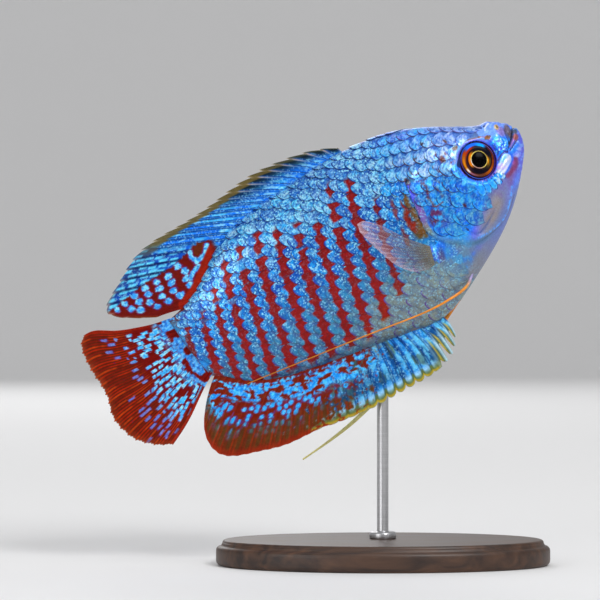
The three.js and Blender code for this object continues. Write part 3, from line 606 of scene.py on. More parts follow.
# ------------------------------------------------------------------ materials
def node_material(name, rough=(0.3, 0.45), metal=0.0, coat=0.0, coat_rough=0.1, grain=0.12, grain_scale=5000.0, bump=0.04,
                  bump_scale=3500.0, sparkle=0.0, alpha=None, sub=0.0, spec=0.35):
    m = bpy.data.materials.new(name)
    m.use_nodes = True
    nt = m.node_tree
    nt.nodes.clear()
    out = nt.nodes.new("ShaderNodeOutputMaterial")
    b = nt.nodes.new("ShaderNodeBsdfPrincipled")
    nt.links.new(b.outputs[0], out.inputs[0])
    att = nt.nodes.new("ShaderNodeAttribute")
    att.attribute_name = "Col"
    co = nt.nodes.new("ShaderNodeTexCoord")
    n1 = nt.nodes.new("ShaderNodeTexNoise")
    n1.inputs["Scale"].default_value = grain_scale
    n1.inputs["Detail"].default_value = 3.0
    nt.links.new(co.outputs["Object"], n1.inputs["Vector"])
    ramp = nt.nodes.new("ShaderNodeMapRange")
    ramp.inputs["From Min"].default_value = 0.25
    ramp.inputs["From Max"].default_value = 0.75
    ramp.inputs["To Min"].default_value = 1 - grain
    ramp.inputs["To Max"].default_value = 1 + grain
    nt.links.new(n1.outputs[0], ramp.inputs["Value"])
    mul = nt.nodes.new("ShaderNodeVectorMath")
    mul.operation = "SCALE"
    nt.links.new(att.outputs["Color"], mul.inputs[0])
    nt.links.new(ramp.outputs[0], mul.inputs["Scale"])
    colour = mul.outputs[0]
    if sparkle:
        # painted glints: Voronoi cells turned pale cyan as tiny reflections, as much as the Spark attribute allows
        vor = nt.nodes.new("ShaderNodeTexVoronoi")
        vor.inputs["Scale"].default_value = 4400.0
        nt.links.new(co.outputs["Object"], vor.inputs["Vector"])
        sep = nt.nodes.new("ShaderNodeSeparateColor")
        nt.links.new(vor.outputs["Color"], sep.inputs[0])
        sel = nt.nodes.new("ShaderNodeMapRange")
        sel.inputs["From Min"].default_value = 0.66
        sel.inputs["From Max"].default_value = 1.0
        nt.links.new(sep.outputs[0], sel.inputs["Value"])
        spk = nt.nodes.new("ShaderNodeAttribute")
        spk.attribute_name = "Spark"
        amt = nt.nodes.new("ShaderNodeMath")
        amt.operation = "MULTIPLY"
        nt.links.new(sel.outputs[0], amt.inputs[0])
        nt.links.new(spk.outputs["Fac"], amt.inputs[1])
        mx = nt.nodes.new("ShaderNodeMix")
        mx.data_type = "RGBA"
        nt.links.new(amt.outputs[0], mx.inputs[0])
        nt.links.new(colour, mx.inputs[6])
        mx.inputs[7].default_value = (*lin(rgb(150, 226, 255)), 1)
        colour = mx.outputs[2]
        # dark cells
        dk = nt.nodes.new("ShaderNodeMapRange")
        dk.inputs["From Min"].default_value = 0.72
        dk.inputs["From Max"].default_value = 0.95
        dk.inputs["To Max"].default_value = 0.55
        nt.links.new(sep.outputs[1], dk.inputs["Value"])
        amt2 = nt.nodes.new("ShaderNodeMath")
        amt2.operation = "MULTIPLY"
        nt.links.new(dk.outputs[0], amt2.inputs[0])
        nt.links.new(spk.outputs["Fac"], amt2.inputs[1])
        mx2 = nt.nodes.new("ShaderNodeMix")
        mx2.data_type = "RGBA"
        nt.links.new(amt2.outputs[0], mx2.inputs[0])
        nt.links.new(colour, mx2.inputs[6])
        mx2.inputs[7].default_value = (*lin(rgb(8, 70, 160)), 1)
        colour = mx2.outputs[2]
    nt.links.new(colour, b.inputs["Base Color"])
    n2 = nt.nodes.new("ShaderNodeTexNoise")
    n2.inputs["Scale"].default_value = bump_scale
    n2.inputs["Detail"].default_value = 4.0
    nt.links.new(co.outputs["Object"], n2.inputs["Vector"])
    rr = nt.nodes.new("ShaderNodeMapRange")
    rr.inputs["From Min"].default_value = 0.3
    rr.inputs["From Max"].default_value = 0.7
    rr.inputs["To Min"].default_value = rough[0]
    rr.inputs["To Max"].default_value = rough[1]
    nt.links.new(n2.outputs[0], rr.inputs["Value"])
    nt.links.new(rr.outputs[0], b.inputs["Roughness"])
    bp = nt.nodes.new("ShaderNodeBump")
    bp.inputs["Strength"].default_value = 1.0
    bp.inputs["Distance"].default_value = bump / 1000.0
    nt.links.new(n2.outputs[0], bp.inputs["Height"])
    nt.links.new(bp.outputs[0], b.inputs["Normal"])
    b.inputs["Metallic"].default_value = metal
    b.inputs["Specular IOR Level"].default_value = spec
    b.inputs["Coat Weight"].default_value = coat
    b.inputs["Coat Roughness"].default_value = coat_rough
    if sub:
        b.inputs["Subsurface Weight"].default_value = sub
        b.inputs["Subsurface Radius"].default_value = (0.0006, 0.0004, 0.0003)
        b.inputs["Subsurface Scale"].default_value = 1.0
    if alpha is not None:
        al = nt.nodes.new("ShaderNodeAttribute")
        al.attribute_name = "Clear"
        nt.links.new(al.outputs["Fac"], b.inputs["Alpha"])
    return m


# ------------------------------------------------------------------ mesh building
def build_object(name, verts, faces, col=None, spark=None, clear=None, uv=None, material=None, smooth_shade=True):
    """faces: list of integer arrays, each (n, corners). uv: per loop, in the order of the faces."""
    me = bpy.data.meshes.new(name)
    verts = np.asarray(verts, np.float32)
    me.vertices.add(len(verts))
    me.vertices.foreach_set("co", verts.ravel())
    loops = np.concatenate([f.ravel() for f in faces]).astype(np.int32)
    counts = np.concatenate([np.full(len(f), f.shape[1]) for f in faces])
    starts = np.r_[0, np.cumsum(counts)[:-1]].astype(np.int32)
    me.loops.add(len(loops))
    me.loops.foreach_set("vertex_index", loops)
    me.polygons.add(len(counts))
    me.polygons.foreach_set("loop_start", starts)
    me.update(calc_edges=True)
    me.polygons.foreach_set("use_smooth", np.full(len(counts), smooth_shade))
    if col is not None:
        a = me.color_attributes.new(name="Col", type="FLOAT_COLOR", domain="POINT")
        c = np.ones((len(verts), 4), np.float32)
        c[:, :3] = lin(np.clip(col, 0, 1))
        a.data.foreach_set("color", c.ravel())
    for label, data in (("Spark", spark), ("Clear", clear)):
        if data is not None:
            a = me.attributes.new(label, "FLOAT", "POINT")
            a.data.foreach_set("value", np.asarray(data, np.float32))
    if uv is not None:
        layer = me.uv_layers.new(name="OFBake")
        layer.data.foreach_set("uv", np.asarray(uv, np.float32).ravel())
    me.validate()
    o = bpy.data.objects.new(name, me)
    bpy.context.scene.collection.objects.link(o)
    if material:
        me.materials.append(material)
    return o


def piece(o, slot, *nodes):
    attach(o, "root")
    if nodes:
        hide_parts(*nodes)
    return o


def grid_faces(n, m, base=0, close=False, flip=False):
    """Quads of an n x m grid of points, row by row; close joins the last column to the first."""
    i, j = np.meshgrid(np.arange(n - 1), np.arange(m if close else m - 1), indexing="ij")
    i, j = i.ravel(), j.ravel()
    k = (j + 1) % m
    f = np.stack([i * m + j, (i + 1) * m + j, (i + 1) * m + k, i * m + k], -1) + base
    return f[:, ::-1] if flip else f


# ------------------------------------------------------------------ the skin
RINGS, AROUND = 372, 240


def make_skin():
    t = np.arange(1, RINGS + 1) / RINGS
    s = (t ** 1.5)[:, None] + np.zeros((1, AROUND))
    phi = 2 * np.pi * np.arange(AROUND) / AROUND
    phi = np.where(phi > np.pi, 2 * np.pi - phi, phi)[None, :] + np.zeros((RINGS, 1))
    right = (np.arange(AROUND) > AROUND // 2)[None, :] & np.ones((RINGS, 1), bool)
    p, n, p0 = skin_surface(s, phi)
    p[..., 2] = np.where((phi == 0) | (phi == np.pi), 0.0, p[..., 2])
    col, spark = np.zeros(p.shape), np.zeros(s.shape)
    for side, seed in ((~right, 100), (right, 0)):
        u, h = seen(p0[side][:, 0], p0[side][:, 1], p0[side][:, 2])
        c, sp, cover = body_colour(u, h, column(u, h), seed)
        col[side] = c
        spark[side] = sp
    # under the scales the skin loses its sparkle and is darkened as painted shade
    u, h = p0[..., 0], p0[..., 1]
    bare = 1 - scaled(*seen(u, h, p0[..., 2]), 0.25)
    spark = 0.15 + (spark - 0.15) * bare
    back = smooth(h - np.interp(u, [48, 50, 52.6, 54.6, 56.6, 58.2, 60], [11.4, 10.4, 8.7, 7.3, 6.3, 5.7, 5.2]), -0.15, 0.15) * smooth(u, 48.5, 50.0) * (1 - smooth(u, 59.5, 60.5))
    col = mix(col, rgb(160, 30, 6), back * 0.95)
    # painted shade on the skin under the scales, darker higher up
    under_scale_shade = 0.9 - 0.25 * smooth(h, -1.0, 5.0)
    col = col * (1 - (1 - bare) * (1 - under_scale_shade))[..., None]
    us, hs = seen(u, h, p0[..., 2])
    breast = blob(us, hs, 17.4, -9.6, 3.4, 3.0, 0, 0.45) * (0.55 + 0.45 * smooth(fbm(u * 1.3, h * 1.3, 71), 0.35, 0.6))
    col = mix(col, rgb(112, 122, 140), breast * 0.8)
    spark = spark * (1 - 0.6 * breast)
    y = np.where(right, -p[..., 2], p[..., 2])
    pts = np.stack([p[..., 0], p[..., 1], y], -1).reshape(-1, 3)
    tip, end = len(pts), len(pts) + 1
    pts = np.vstack([pts, [[0.2 + COAT, 3.4 - 0.07, 0]], [[61.2 - COAT, 0.1, 0]]])
    f = grid_faces(RINGS, AROUND, 0, close=True)
    j = np.arange(AROUND)
    k = (j + 1) % AROUND
    cap0 = np.stack([np.full(AROUND, tip), j, k], -1)
    last = (RINGS - 1) * AROUND
    cap1 = np.stack([np.full(AROUND, end), last + k, last + j], -1)
    colours = np.vstack([col.reshape(-1, 3), [rgb(40, 30, 40)], [rgb(120, 60, 60)]])
    w = world(*pts.T)
    # face outwards
    v = w[f[:, 0]], w[f[:, 1]], w[f[:, 2]]
    centre = world(28.0, -1.0, 0.0)
    sign = np.sum(np.cross(v[1] - v[0], v[2] - v[0]) * ((v[0] + v[2]) / 2 - centre), -1)
    if np.median(sign) < 0:
        f, cap0, cap1 = f[:, ::-1], cap0[:, ::-1], cap1[:, ::-1]
    # an unwrap by ring and angle, with the crowded face rings given room
    def uv_of(faces, n):
        ring = np.where(faces < RINGS * AROUND, faces // AROUND + 1, np.where(faces == tip, 0, RINGS + 1))
        ang = np.where(faces < RINGS * AROUND, faces % AROUND, 0).astype(float)
        body = faces < RINGS * AROUND
        wrap = (np.where(body, ang, -1).max(1, keepdims=True) - np.where(body, ang, 1e9).min(1, keepdims=True)) > AROUND / 2
        ang = np.where(wrap & (ang < AROUND / 2) & body, ang + AROUND, ang)
        mean = np.where(body, ang, 0).sum(1, keepdims=True) / body.sum(1, keepdims=True)
        ang = np.where(body, ang, mean)
        return np.stack([0.005 + 0.99 * ang / AROUND, 0.005 + 0.99 * ring / (RINGS + 1)], -1).reshape(-1, 2)
    uv = np.vstack([uv_of(x, 0) for x in (f, cap0, cap1)])
    sp = np.r_[spark.ravel() * 1.0, 0, 0]
    m = node_material("flesh", rough=(0.30, 0.46), metal=0.35, coat=0.15, coat_rough=0.15, grain=0.16, grain_scale=4200, bump=0.03,
                      bump_scale=4200, sparkle=1.0)
    return build_object("body_skin", w, [f, cap0, cap1], colours, spark=sp, uv=uv, material=m)


# ------------------------------------------------------------------ the scales
def scaled(u, h, soft=0.1):
    """1 where scales grow, 0 on the bare face, throat, gill membrane and fin bases."""
    ok = np.ones_like(u)
    ok *= smooth(eye_rho(u, h), 1.06, 1.06 + soft)
    ok *= smooth(h - 3.4 + 0.85 * (u - 6.2), -soft, soft) + (h < 3.4) * 1.0 > 0.5
    ok *= smooth(u, 5.0, 5.0 + soft)
    # lower edge of the scaled cheek
    edge = np.interp(u, [3.0, 6.5, 9.0, 12.0, 14.2, 16.5, 18.5], [-1.0, -3.2, -4.6, -6.0, -6.7, -6.6, -5.6])
    low = smooth(h - edge, 0, soft * 2)
    breast = smooth(u - np.interp(h, [-16, -12, -9, -6], [17.5, 18.0, 20.6, 22.5]), 0, soft * 2)
    ok *= np.where(u < 21, np.maximum(low * ((u < 20.3) | (h > -4.5)), breast * (h < -5)), 1.0)
    d, t, side = line_info(u, h, GILL_REAR, 24)
    ok *= 1 - ((side < 0) & (d < 1.15) & (t > 0.1) & (t < 0.9))
    ok *= 1 - (((u - 21.0) / 1.5) ** 2 + ((h + 7.0) / 2.1) ** 2 < 1)
    ok *= 1 - (line_info(u, h, [(4.6, -1.3), (6.8, -2.1), (9.0, -2.2)], 8)[0] < 1.05)
    return ok


P0, P1, NP = 4.0, 66.0, 500
PG = np.linspace(P0, P1, NP)
RG = np.arange(-30, 30.01, 0.15)


ANCHORS = [1.85, 5.45, 9.05, 12.65, 16.25, 19.85, 22.95] + [b[0] for b in BARS] + [63.3, 66.0]      # two columns of scales from one bar to the next


def pitch_along(p):
    return np.interp(p, [4, 16, 21, 25, 27, 46, 49, 52, 55, 58, 61, 66], [1.8, 1.8, 1.6, 1.55, 1.65, 1.65, 1.55, 1.43, 1.38, 1.44, 1.44, 1.3])


def pitch_of(p):
    """Height of a scale's row."""
    return np.interp(p, [4, 12, 18, 24, 45, 50, 56, 60, 66], [2.75, 2.65, 2.3, 2.05, 2.05, 1.92, 1.62, 1.35, 1.2])


def make_lattice():
    phis = np.linspace(-0.4, np.pi + 0.4, 300)
    ss = np.linspace(0.001, 1.0, 500)
    S = np.zeros((NP, len(phis)))
    for k, ph in enumerate(phis):
        u, h, y = body_point(ss, np.full_like(ss, ph))
        p = np.maximum.accumulate(column(u, h) + 1e-6 * np.arange(len(ss)))
        S[:, k] = np.interp(PG, p, ss, left=np.nan, right=np.nan)
    valid = ~np.isnan(S)
    Sf = np.where(valid, S, 1.0)
    u, h, y = body_point(Sf, np.broadcast_to(phis, Sf.shape))
    step = np.sqrt(np.diff(u, axis=1) ** 2 + np.diff(h, axis=1) ** 2 + np.diff(y, axis=1) ** 2)
    arc = np.c_[np.zeros(NP), np.cumsum(step, axis=1)]
    mid = np.array([np.interp(np.pi / 2, phis, a) for a in arc])
    r = mid[:, None] - arc                     # positive towards the back
    s_tab, phi_tab = np.zeros((NP, len(RG))), np.zeros((NP, len(RG)))
    ok = np.zeros((NP, len(RG)), bool)
    for i in range(NP):
        rr, order = r[i][::-1], slice(None, None, -1)
        good = valid[i][order]
        if good.sum() < 5:
            continue
        s_tab[i] = np.interp(RG, rr[good], Sf[i][order][good])
        phi_tab[i] = np.interp(RG, rr[good], phis[order][good])
        ok[i] = (RG >= rr[good][0]) & (RG <= rr[good][-1])
    return s_tab, phi_tab, ok


def lookup(tab, p, r):
    x = np.clip((p - P0) / (P1 - P0) * (NP - 1), 0, NP - 1.001)
    y = np.clip((r - RG[0]) / 0.15, 0, len(RG) - 1.001)
    i, j = x.astype(int), y.astype(int)
    fx, fy = x - i, y - j
    return (tab[i, j] * (1 - fx) + tab[i + 1, j] * fx) * (1 - fy) + (tab[i, j + 1] * (1 - fx) + tab[i + 1, j + 1] * fx) * fy


SKEW = 0.58                     # the scales' rear edges lean: their upper ends lie further back
XI = np.array([0.0, 0.18, 0.32, 0.42, 0.49, 0.56, 0.63, 0.70, 0.76, 0.82, 0.875, 0.92, 0.955, 0.98, 1.0])
ETA = np.array([-1.0, -0.93, -0.82, -0.68, -0.52, -0.35, -0.17, 0.0, 0.17, 0.35, 0.52, 0.68, 0.82, 0.93, 1.0])


CHEEK_LINES = [([(17.5, 4.4), (16.6, 3.95), (15.3, 3.75)], 0.10, rgb(84, 18, 36)),
               ([(16.6, 3.5), (16.2, 2.4), (16.7, 1.4), (16.7, 0.2), (16.9, -0.6)], 0.13, rgb(112, 40, 34)),
               ([(14.7, 4.0), (14.5, 2.9), (13.9, 1.9)], 0.10, rgb(84, 66, 40)), ([(16.9, -0.6), (16.1, -0.75), (15.3, -0.65)], 0.09, rgb(130, 50, 30)),
               ([(12.4, 3.9), (11.9, 2.9), (11.0, 2.3)], 0.07, rgb(24, 34, 96)), ([(14.9, 1.8), (14.85, 0.9), (14.8, 0.1)], 0.16, rgb(104, 84, 110)),
               ([(14.3, -2.6), (14.5, -4.0), (14.3, -5.6), (13.9, -7.0)], 0.08, rgb(14, 40, 120)), ([(13.9, 5.6), (13.7, 4.4), (13.2, 3.5)], 0.08, rgb(84, 24, 40)),
               ([(16.9, 6.9), (17.2, 6.0), (17.0, 5.2), (16.1, 5.1)], 0.07, rgb(90, 26, 40)), ([(17.6, 2.6), (17.1, 1.7), (17.0, 1.2)], 0.08, rgb(16, 34, 100))]
HEAD_SPOTS = [(18.4, 4.9, 0.36, 0.62, 0, rgb(84, 38, 20)), (11.85, 5.0, 0.36, 0.58, 0, rgb(112, 50, 34)), (9.3, 5.5, 0.50, 0.36, -15, rgb(70, 36, 0)),
              (12.6, -2.85, 0.22, 0.42, 0, rgb(70, 30, 56)), (13.4, 8.75, 0.28, 0.22, 0, rgb(66, 40, 40)), (15.45, 7.25, 0.24, 0.16, 0, rgb(70, 34, 50)),
              (11.05, 5.5, 0.13, 0.30, 20, rgb(130, 36, 10)), (10.1, 7.2, 0.18, 0.38, -25, rgb(100, 58, 36)), (12.45, 6.15, 0.12, 0.26, 0, rgb(104, 30, 40)),
              (11.0, 3.75, 0.14, 0.12, 0, rgb(130, 44, 30)), (6.9, 6.5, 0.14, 0.18, 0, rgb(104, 30, 70)), (5.2, 5.0, 0.22, 0.14, 20, rgb(132, 84, 50))]


def make_scales(side_sign, seed, lattice):
    s_tab, phi_tab, ok = lattice
    rng = np.random.default_rng(400 + seed)
    # columns
    spans = np.arange(len(ANCHORS) - 1)
    cols = np.interp(np.sort(np.r_[spans + 0.136, spans + 0.527 + 0.10 * (spans < 6)]), np.arange(len(ANCHORS)), ANCHORS)
    cols = cols[cols < 64.5]
    P, ROW, K = [], [], []
    for k, p in enumerate(cols):
        j = np.arange(-22, 23) + (0.5 if k % 2 else 0.0)
        P += [p] * len(j)
        ROW += list(j)
        K += [k] * len(j)
    P, ROW, K = np.array(P), np.array(ROW), np.array(K)
    b, bu = pitch_of(P), pitch_along(P)
    P = P + rng.normal(0, 0.05, len(P))
    rown = ROW + rng.normal(0, 0.03, len(P))
    r = rown * b
    s, phi = lookup(s_tab, P, r), lookup(phi_tab, P, r)
    on = lookup(ok.astype(float), P, r) > 0.99
    uc, hc, yc = body_point(s, phi)
    keep = on & (phi > 0.035) & (phi < np.pi - 0.035) & (s < 0.992) & (scaled(*seen(uc, hc, yc)) > 0.5) & (uc > 4.8)
    keep &= ~((uc < 7.5) & (hc < 3.4) & (hc > -0.2))
    # the tip must not hang over the gill cover's edge
    tipu = uc + 0.52 * bu
    _, _, side_tip = line_info(tipu, hc, GILL_REAR, 24)
    dc, tc, side_c = line_info(uc, hc, GILL_REAR, 24)
    rear_zone = (tc > 0.08) & (tc < 0.9) & (dc < 3)
    keep &= ~(rear_zone & (side_c < 0) & (side_tip > 0))
    P, rown, b, bu, K, ROW, s, phi, uc, hc = (x[keep] for x in (P, rown, b, bu, K, ROW, s, phi, uc, hc))
    side_c, rear_zone = side_c[keep], rear_zone[keep]
    N = len(P)
    gill = np.where(side_c < 0, 1.0, 0.0)
    size = 1 + rng.normal(0, 0.035, N)
    rearcol = K % 2 == 1                               # in front of each bar; the others carry the bar at their fronts
    tip, root = 0.57 * bu * size, np.where(rearcol, -1.45, -1.7) * bu
    halfw = 0.60 * b * size
    xi, eta = np.meshgrid(XI, ETA, indexing="ij")
    shape = 0.20 * np.abs(eta) ** 2.0 + 0.20 * np.abs(eta) ** 7 + 0.08 * np.maximum(-eta, 0) ** 3
    tipe = tip[:, None, None] - bu[:, None, None] * shape
    roote = root[:, None, None] + bu[:, None, None] * 0.15 * np.abs(eta) ** 2
    x = roote + (tipe - roote) * xi
    wv = halfw[:, None, None] * (0.86 + 0.14 * np.sin(np.pi * np.minimum(xi * 1.15, 1.0)))
    across = eta * wv
    pv = P[:, None, None] + x + SKEW * across * (0.4 + 0.6 * xi)
    rv = rown[:, None, None] * pitch_of(pv) + across
    # lift: roots tucked in, tips out, edges lower than the middle
    tilt = rng.normal(0, 0.010, (N, 1, 1))
    roll = rng.normal(0, 0.010, (N, 1, 1))
    face = smooth(uc, 9, 20)[:, None, None]
    high = smooth(hc, -7, 2)[:, None, None]
    full = (0.15 + 0.06 * face) * (0.55 + 0.45 * high)
    lift = -0.025 + full * xi ** 1.15 - 0.028 * eta ** 2 * (1 - xi * 0.5) + 0.02 * bell(xi - 0.75, 0.22) * (1 - eta ** 2) + tilt * xi + roll * eta
    lift = lift - 0.012 * smooth(xi, 0.93, 1.0)
    # points of the top grid
    sv, fv = lookup(s_tab, pv, rv), lookup(phi_tab, pv, rv)
    past = np.maximum(smooth(0.05 - fv, 0.0, 0.10), smooth(fv - np.pi + 0.05, 0.0, 0.10))   # tucked into the body beyond the midline
    lift = lift * (1 - past) - 0.14 * past
    fv = np.where(fv < 0.03, 0.03 * np.exp(np.minimum(fv - 0.03, 0) / 0.06), fv)      # none crosses the back or the belly line
    low = np.pi - fv
    fv = np.where(low < 0.03, np.pi - 0.03 * np.exp(np.minimum(low - 0.03, 0) / 0.06), fv)
    top, nrm, p0 = skin_surface(sv, fv, 0.0, gill[:, None, None] + 0 * sv)
    reach = np.hypot(np.ptp(p0[..., 0], axis=(1, 2)), np.ptp(p0[..., 1], axis=(1, 2)))
    sound = reach < 1.3 * np.hypot(2.3 * bu, 1.2 * b)          # none is drawn out where the rows run together
    us, hs = seen(p0[..., 0], p0[..., 1], p0[..., 2])
    lift = -0.03 + (lift + 0.03) * (0.12 + 0.88 * smooth(eye_rho(us, hs), 1.08, 1.5))
    top_pts = top + nrm * lift[..., None]
    thick = 0.055
    # rim loop, anticlockwise
    R, C = len(XI), len(ETA)
    rim = [(i, 0) for i in range(R)] + [(R - 1, j) for j in range(1, C)] + [(i, C - 1) for i in range(R - 2, -1, -1)] + [(0, j) for j in range(C - 2, 0, -1)]
    ri, rj = np.array(rim).T
    low_pts = top_pts[:, ri, rj] - nrm[:, ri, rj] * thick
    n_top, n_rim = R * C, len(rim)
    per = n_top + n_rim
    pts = np.concatenate([top_pts.reshape(N, n_top, 3), low_pts], 1)
    # faces of one scale
    g = grid_faces(R, C)
    ids = ri * C + rj
    nxt = np.roll(np.arange(n_rim), -1)
    wall = np.stack([ids, n_top + np.arange(n_rim), n_top + nxt, ids[nxt]], -1)
    bottom = (n_top + np.arange(n_rim))[None, :]
    # colours
    u0, h0 = p0[..., 0], p0[..., 1]
    uu = uc[:, None, None] + 0.8 * (u0 - uc[:, None, None])
    hh = hc[:, None, None] + 0.8 * (h0 - hc[:, None, None])
    # a bar's rear edge steps from row to row, as the blue at each scale's rear hangs over it with a rounded lower end
    pe = pv - 0.26 * across - 0.60 * smooth(-eta, 0.46, 0.80) + 0.16 * bell(eta + 0.1, 0.45)
    sh = uu.shape
    carries = (~rearcol)[:, None, None] + np.zeros(sh)
    uu, hh = seen(uu, hh, p0[..., 2])
    col, spark, cover = body_colour(uu.ravel(), hh.ravel(), pe.ravel(), seed, carries.ravel())
    col, spark, cover = col.reshape(sh + (3,)), spark.reshape(sh), cover.reshape(sh)
    U, H = uc[:, None, None], hc[:, None, None]
    E = eta + 0 * U
    L = rearcol[:, None, None] * 1.0
    clean = 1 - cover
    tone = rng.normal(0, 0.12, (N, 1, 1, 1))
    highlit_scale, deep = smooth(rng.random((N, 1, 1)), 0.60, 0.95), smooth(rng.random((N, 1, 1)), 0.66, 0.95)
    col = col * (1 + tone * clean[..., None])
    body = smooth(U, 20, 23)
    bare_low = smooth(-H, 7.5, 12.5)
    nz = fbm(u0 * 1.7 + 3, h0 * 1.7, 57 + seed)
    nf = fbm(u0 * 3.4, h0 * 3.4, 58 + seed)
    # deep blue patches, then azure ones and painted highlights on the scales' middles, more of them towards the back
    upper = smooth(H + 3.0 * (noise(uc * 0.35, hc * 0.35, 5 + seed)[:, None, None] - 0.5), 1.0, 7.0) * smooth(U, 15, 22)
    col = mix(col, rgb(4, 84, 190), clean * smooth(-nz, -0.47, -0.36) * (0.55 + 0.2 * upper) * (1 - 0.6 * bare_low))
    azure = smooth(nz, 0.50, 0.62) * clean * (1 - 0.55 * smooth(-H, 3, 9))
    col = mix(col, rgb(40, 178, 255), azure * 0.75)
    centre = bell(E, 0.85) * smooth(xi, 0.42, 0.6) * (1 - smooth(xi, 0.92, 0.975))
    pick = np.clip(rng.normal(0.75, 0.45, (N, 1, 1)), 0, 1.4)
    # painted highlights: pale cyan on the middles of the scales, more on the upper flank
    centre_highlight = centre * upper * pick * clean * smooth(nf, 0.40, 0.62) * smooth(U, 16, 21)
    col = mix(col, rgb(190, 240, 255), centre_highlight * (0.85 - 0.15 * smooth(U, 22, 30) * (1 - smooth(U, 44, 50))))
    col = mix(col, rgb(8, 80, 190), deep * clean * smooth(H, -5, 1) * smooth(U, 15, 20) * 0.68)
    # painted highlight on the middles of scales picked at random
    col = mix(col, rgb(186, 228, 254), highlit_scale * centre * clean * smooth(H, -3, 4) * smooth(U, 15, 20) * 0.7)
    # painted highlights on the scales of the pale patch between the eye and the gill cover's top
    head_highlight_zone = blob(U + 0 * E, H + 0 * E, 13.8, 6.4, 6.0, 3.6, 12, 0.45)
    col = mix(col, rgb(206, 218, 248), centre * head_highlight_zone * 0.85 * pick * (0.3 + nf))
    crown = smooth(H, 4.4, 6.0) * (1 - smooth(U, 9.5, 13.0)) + 0 * E
    col = mix(col, rgb(112, 142, 226), crown * 0.8)
    col = mix(col, rgb(176, 200, 250), crown * smooth(nf, 0.50, 0.62) * 0.6)
    glints = smooth(fbm(u0 * 5.2, h0 * 5.2, 55 + seed, 2), 0.56, 0.66)
    col = mix(col, rgb(222, 244, 255), glints * clean * np.maximum(head_highlight_zone, np.maximum(0.7 * crown, 0.9 * upper)) * 0.5)
    col = mix(col, rgb(8, 70, 180), smooth(fbm(u0 * 4.6 + 11, h0 * 4.6, 54 + seed, 2), 0.54, 0.62) * clean * smooth(H, -4, 1) * 0.6)
    cheekb = (1 - smooth(U, 18.5, 20.0)) * (1 - smooth(H, 2.5, 4.5)) + 0 * E
    col = mix(col, rgb(120, 214, 255), smooth(fbm(u0 * 4.2 + 7, h0 * 4.2, 56 + seed, 2), 0.58, 0.66) * cheekb * clean * 0.7)
    # the lower flank: blue green scales on grey violet
    lowz = smooth(-(H + 2.5 * (noise(uc * 0.3, hc * 0.3, 6 + seed)[:, None, None] - 0.5)), 0.5, 4.5) * body * clean
    col = mix(col, rgb(76, 144, 182), lowz * 0.45 * (1 - bare_low))
    lx = np.where(L > 0, xi - 0.60, xi - 0.86)                       # the grey violet strip between the two columns of a blue band
    strip = np.where(L > 0, 1 - smooth(lx, -0.06, 0.10), 0.0) * (xi > 0.2)
    col = mix(col, rgb(104, 104, 160), strip * clean * smooth(-H, -1.5, 3.0) * body * 0.62)
    belly = smooth(-(H + 0.10 * (U - 24)) + 1.6 * (nz - 0.5), 5.6, 9.4) * (1 - smooth(U, 30.0, 42.0)) + 0 * E
    col = mix(col, rgb(150, 150, 150), belly * clean * 0.8)
    col = mix(col, rgb(172, 158, 132), belly * clean * smooth(nz, 0.46, 0.6) * 0.5)
    grey = np.maximum(smooth(np.abs(E), 0.62, 0.95), smooth(xi, 0.90, 0.97)) * lowz * smooth(-H, 3.5, 7)
    col = mix(col, rgb(126, 128, 140), grey * 0.45)
    # magenta at the rear edge before a bar
    fringe = L * smooth(xi, 0.89, 0.96) * (1 - smooth(-E, 0.1, 0.9)) * body * smooth(7.0 - H, 0, 2) * (0.5 + 0.6 * nf)
    col = mix(col, rgb(112, 44, 170), fringe * 0.72 * clean)
    # dark rims
    edge = smooth(xi, 0.955, 0.985)
    edge = np.maximum(edge, smooth(-E, 0.84, 0.98) * smooth(xi, 0.5, 0.75) * 0.85)
    broken = smooth(noise(u0 * 0.9 + 9, h0 * 0.9, 59 + seed), 0.18, 0.45)
    amount = (0.80 * smooth(H, -2.0, 4.0) + 0.16) * (0.35 + 0.65 * broken)
    cheekz = 1 - smooth(U, 18.5, 20.5)
    amount = np.maximum(amount, cheekz * (0.30 + 0.5 * broken))
    rimcol = np.zeros(sh + (3,)) + rgb(10, 26, 104)
    redrim = (1 - smooth(np.abs(U - 14.5), 4.0, 7.5)) * smooth(H, -1.0, 1.5) * (1 - smooth(H, 8.0, 10.0))
    rimcol = mix(rimcol, rgb(96, 26, 40), redrim * 0.8 + 0 * E)
    rimcol = mix(rimcol, rgb(92, 66, 110), smooth(H, 9, 12) * (1 - smooth(U, 14, 20)) + 0 * E)
    rimcol = mix(rimcol, rgb(92, 74, 142), crown * 0.9)
    amount = amount * (1 - 0.35 * crown) * smooth(eye_rho(us, hs), 1.12, 1.6) * (1 - 0.8 * belly)
    tailrim = smooth(U, 43, 50) * smooth(H, 0.0, 3.0) + 0 * E
    amount = np.maximum(amount, 0.85 * tailrim)
    amount = np.minimum(1.0, amount * (1 + 0.25 * smooth(H, 0.0, 4.0)))
    rimcol = mix(rimcol, rgb(134, 30, 10), tailrim * smooth(fbm(u0, h0, 53), 0.40, 0.55))
    rimcol = rimcol * (1 - 0.35 * cover[..., None])
    col = mix(col, rimcol, edge * amount * (1 - 0.6 * cover))
    shade = (1 - smooth(xi, 0.42, 0.60)) * (0.25 + 0.45 * smooth(H, -3, 3)) * clean
    col = mix(col, rgb(2, 52, 148), shade * 0.75)
    quiet = 1 - (1 - np.array([0.84, 0.94, 0.96])) * (0.35 + 0.65 * smooth(-H, -9.0, -4.0) + 0 * E)[..., None] * smooth(U, 8.0, 20.0)[..., None]
    quiet = quiet * (1 - (1 - np.array([0.90, 0.93, 0.93])) * (smooth(-H, -2.0, 2.0) * (1 - belly))[..., None])
    col = col * (1 - (1 - quiet) * clean[..., None])
    for line, width, c0 in CHEEK_LINES:
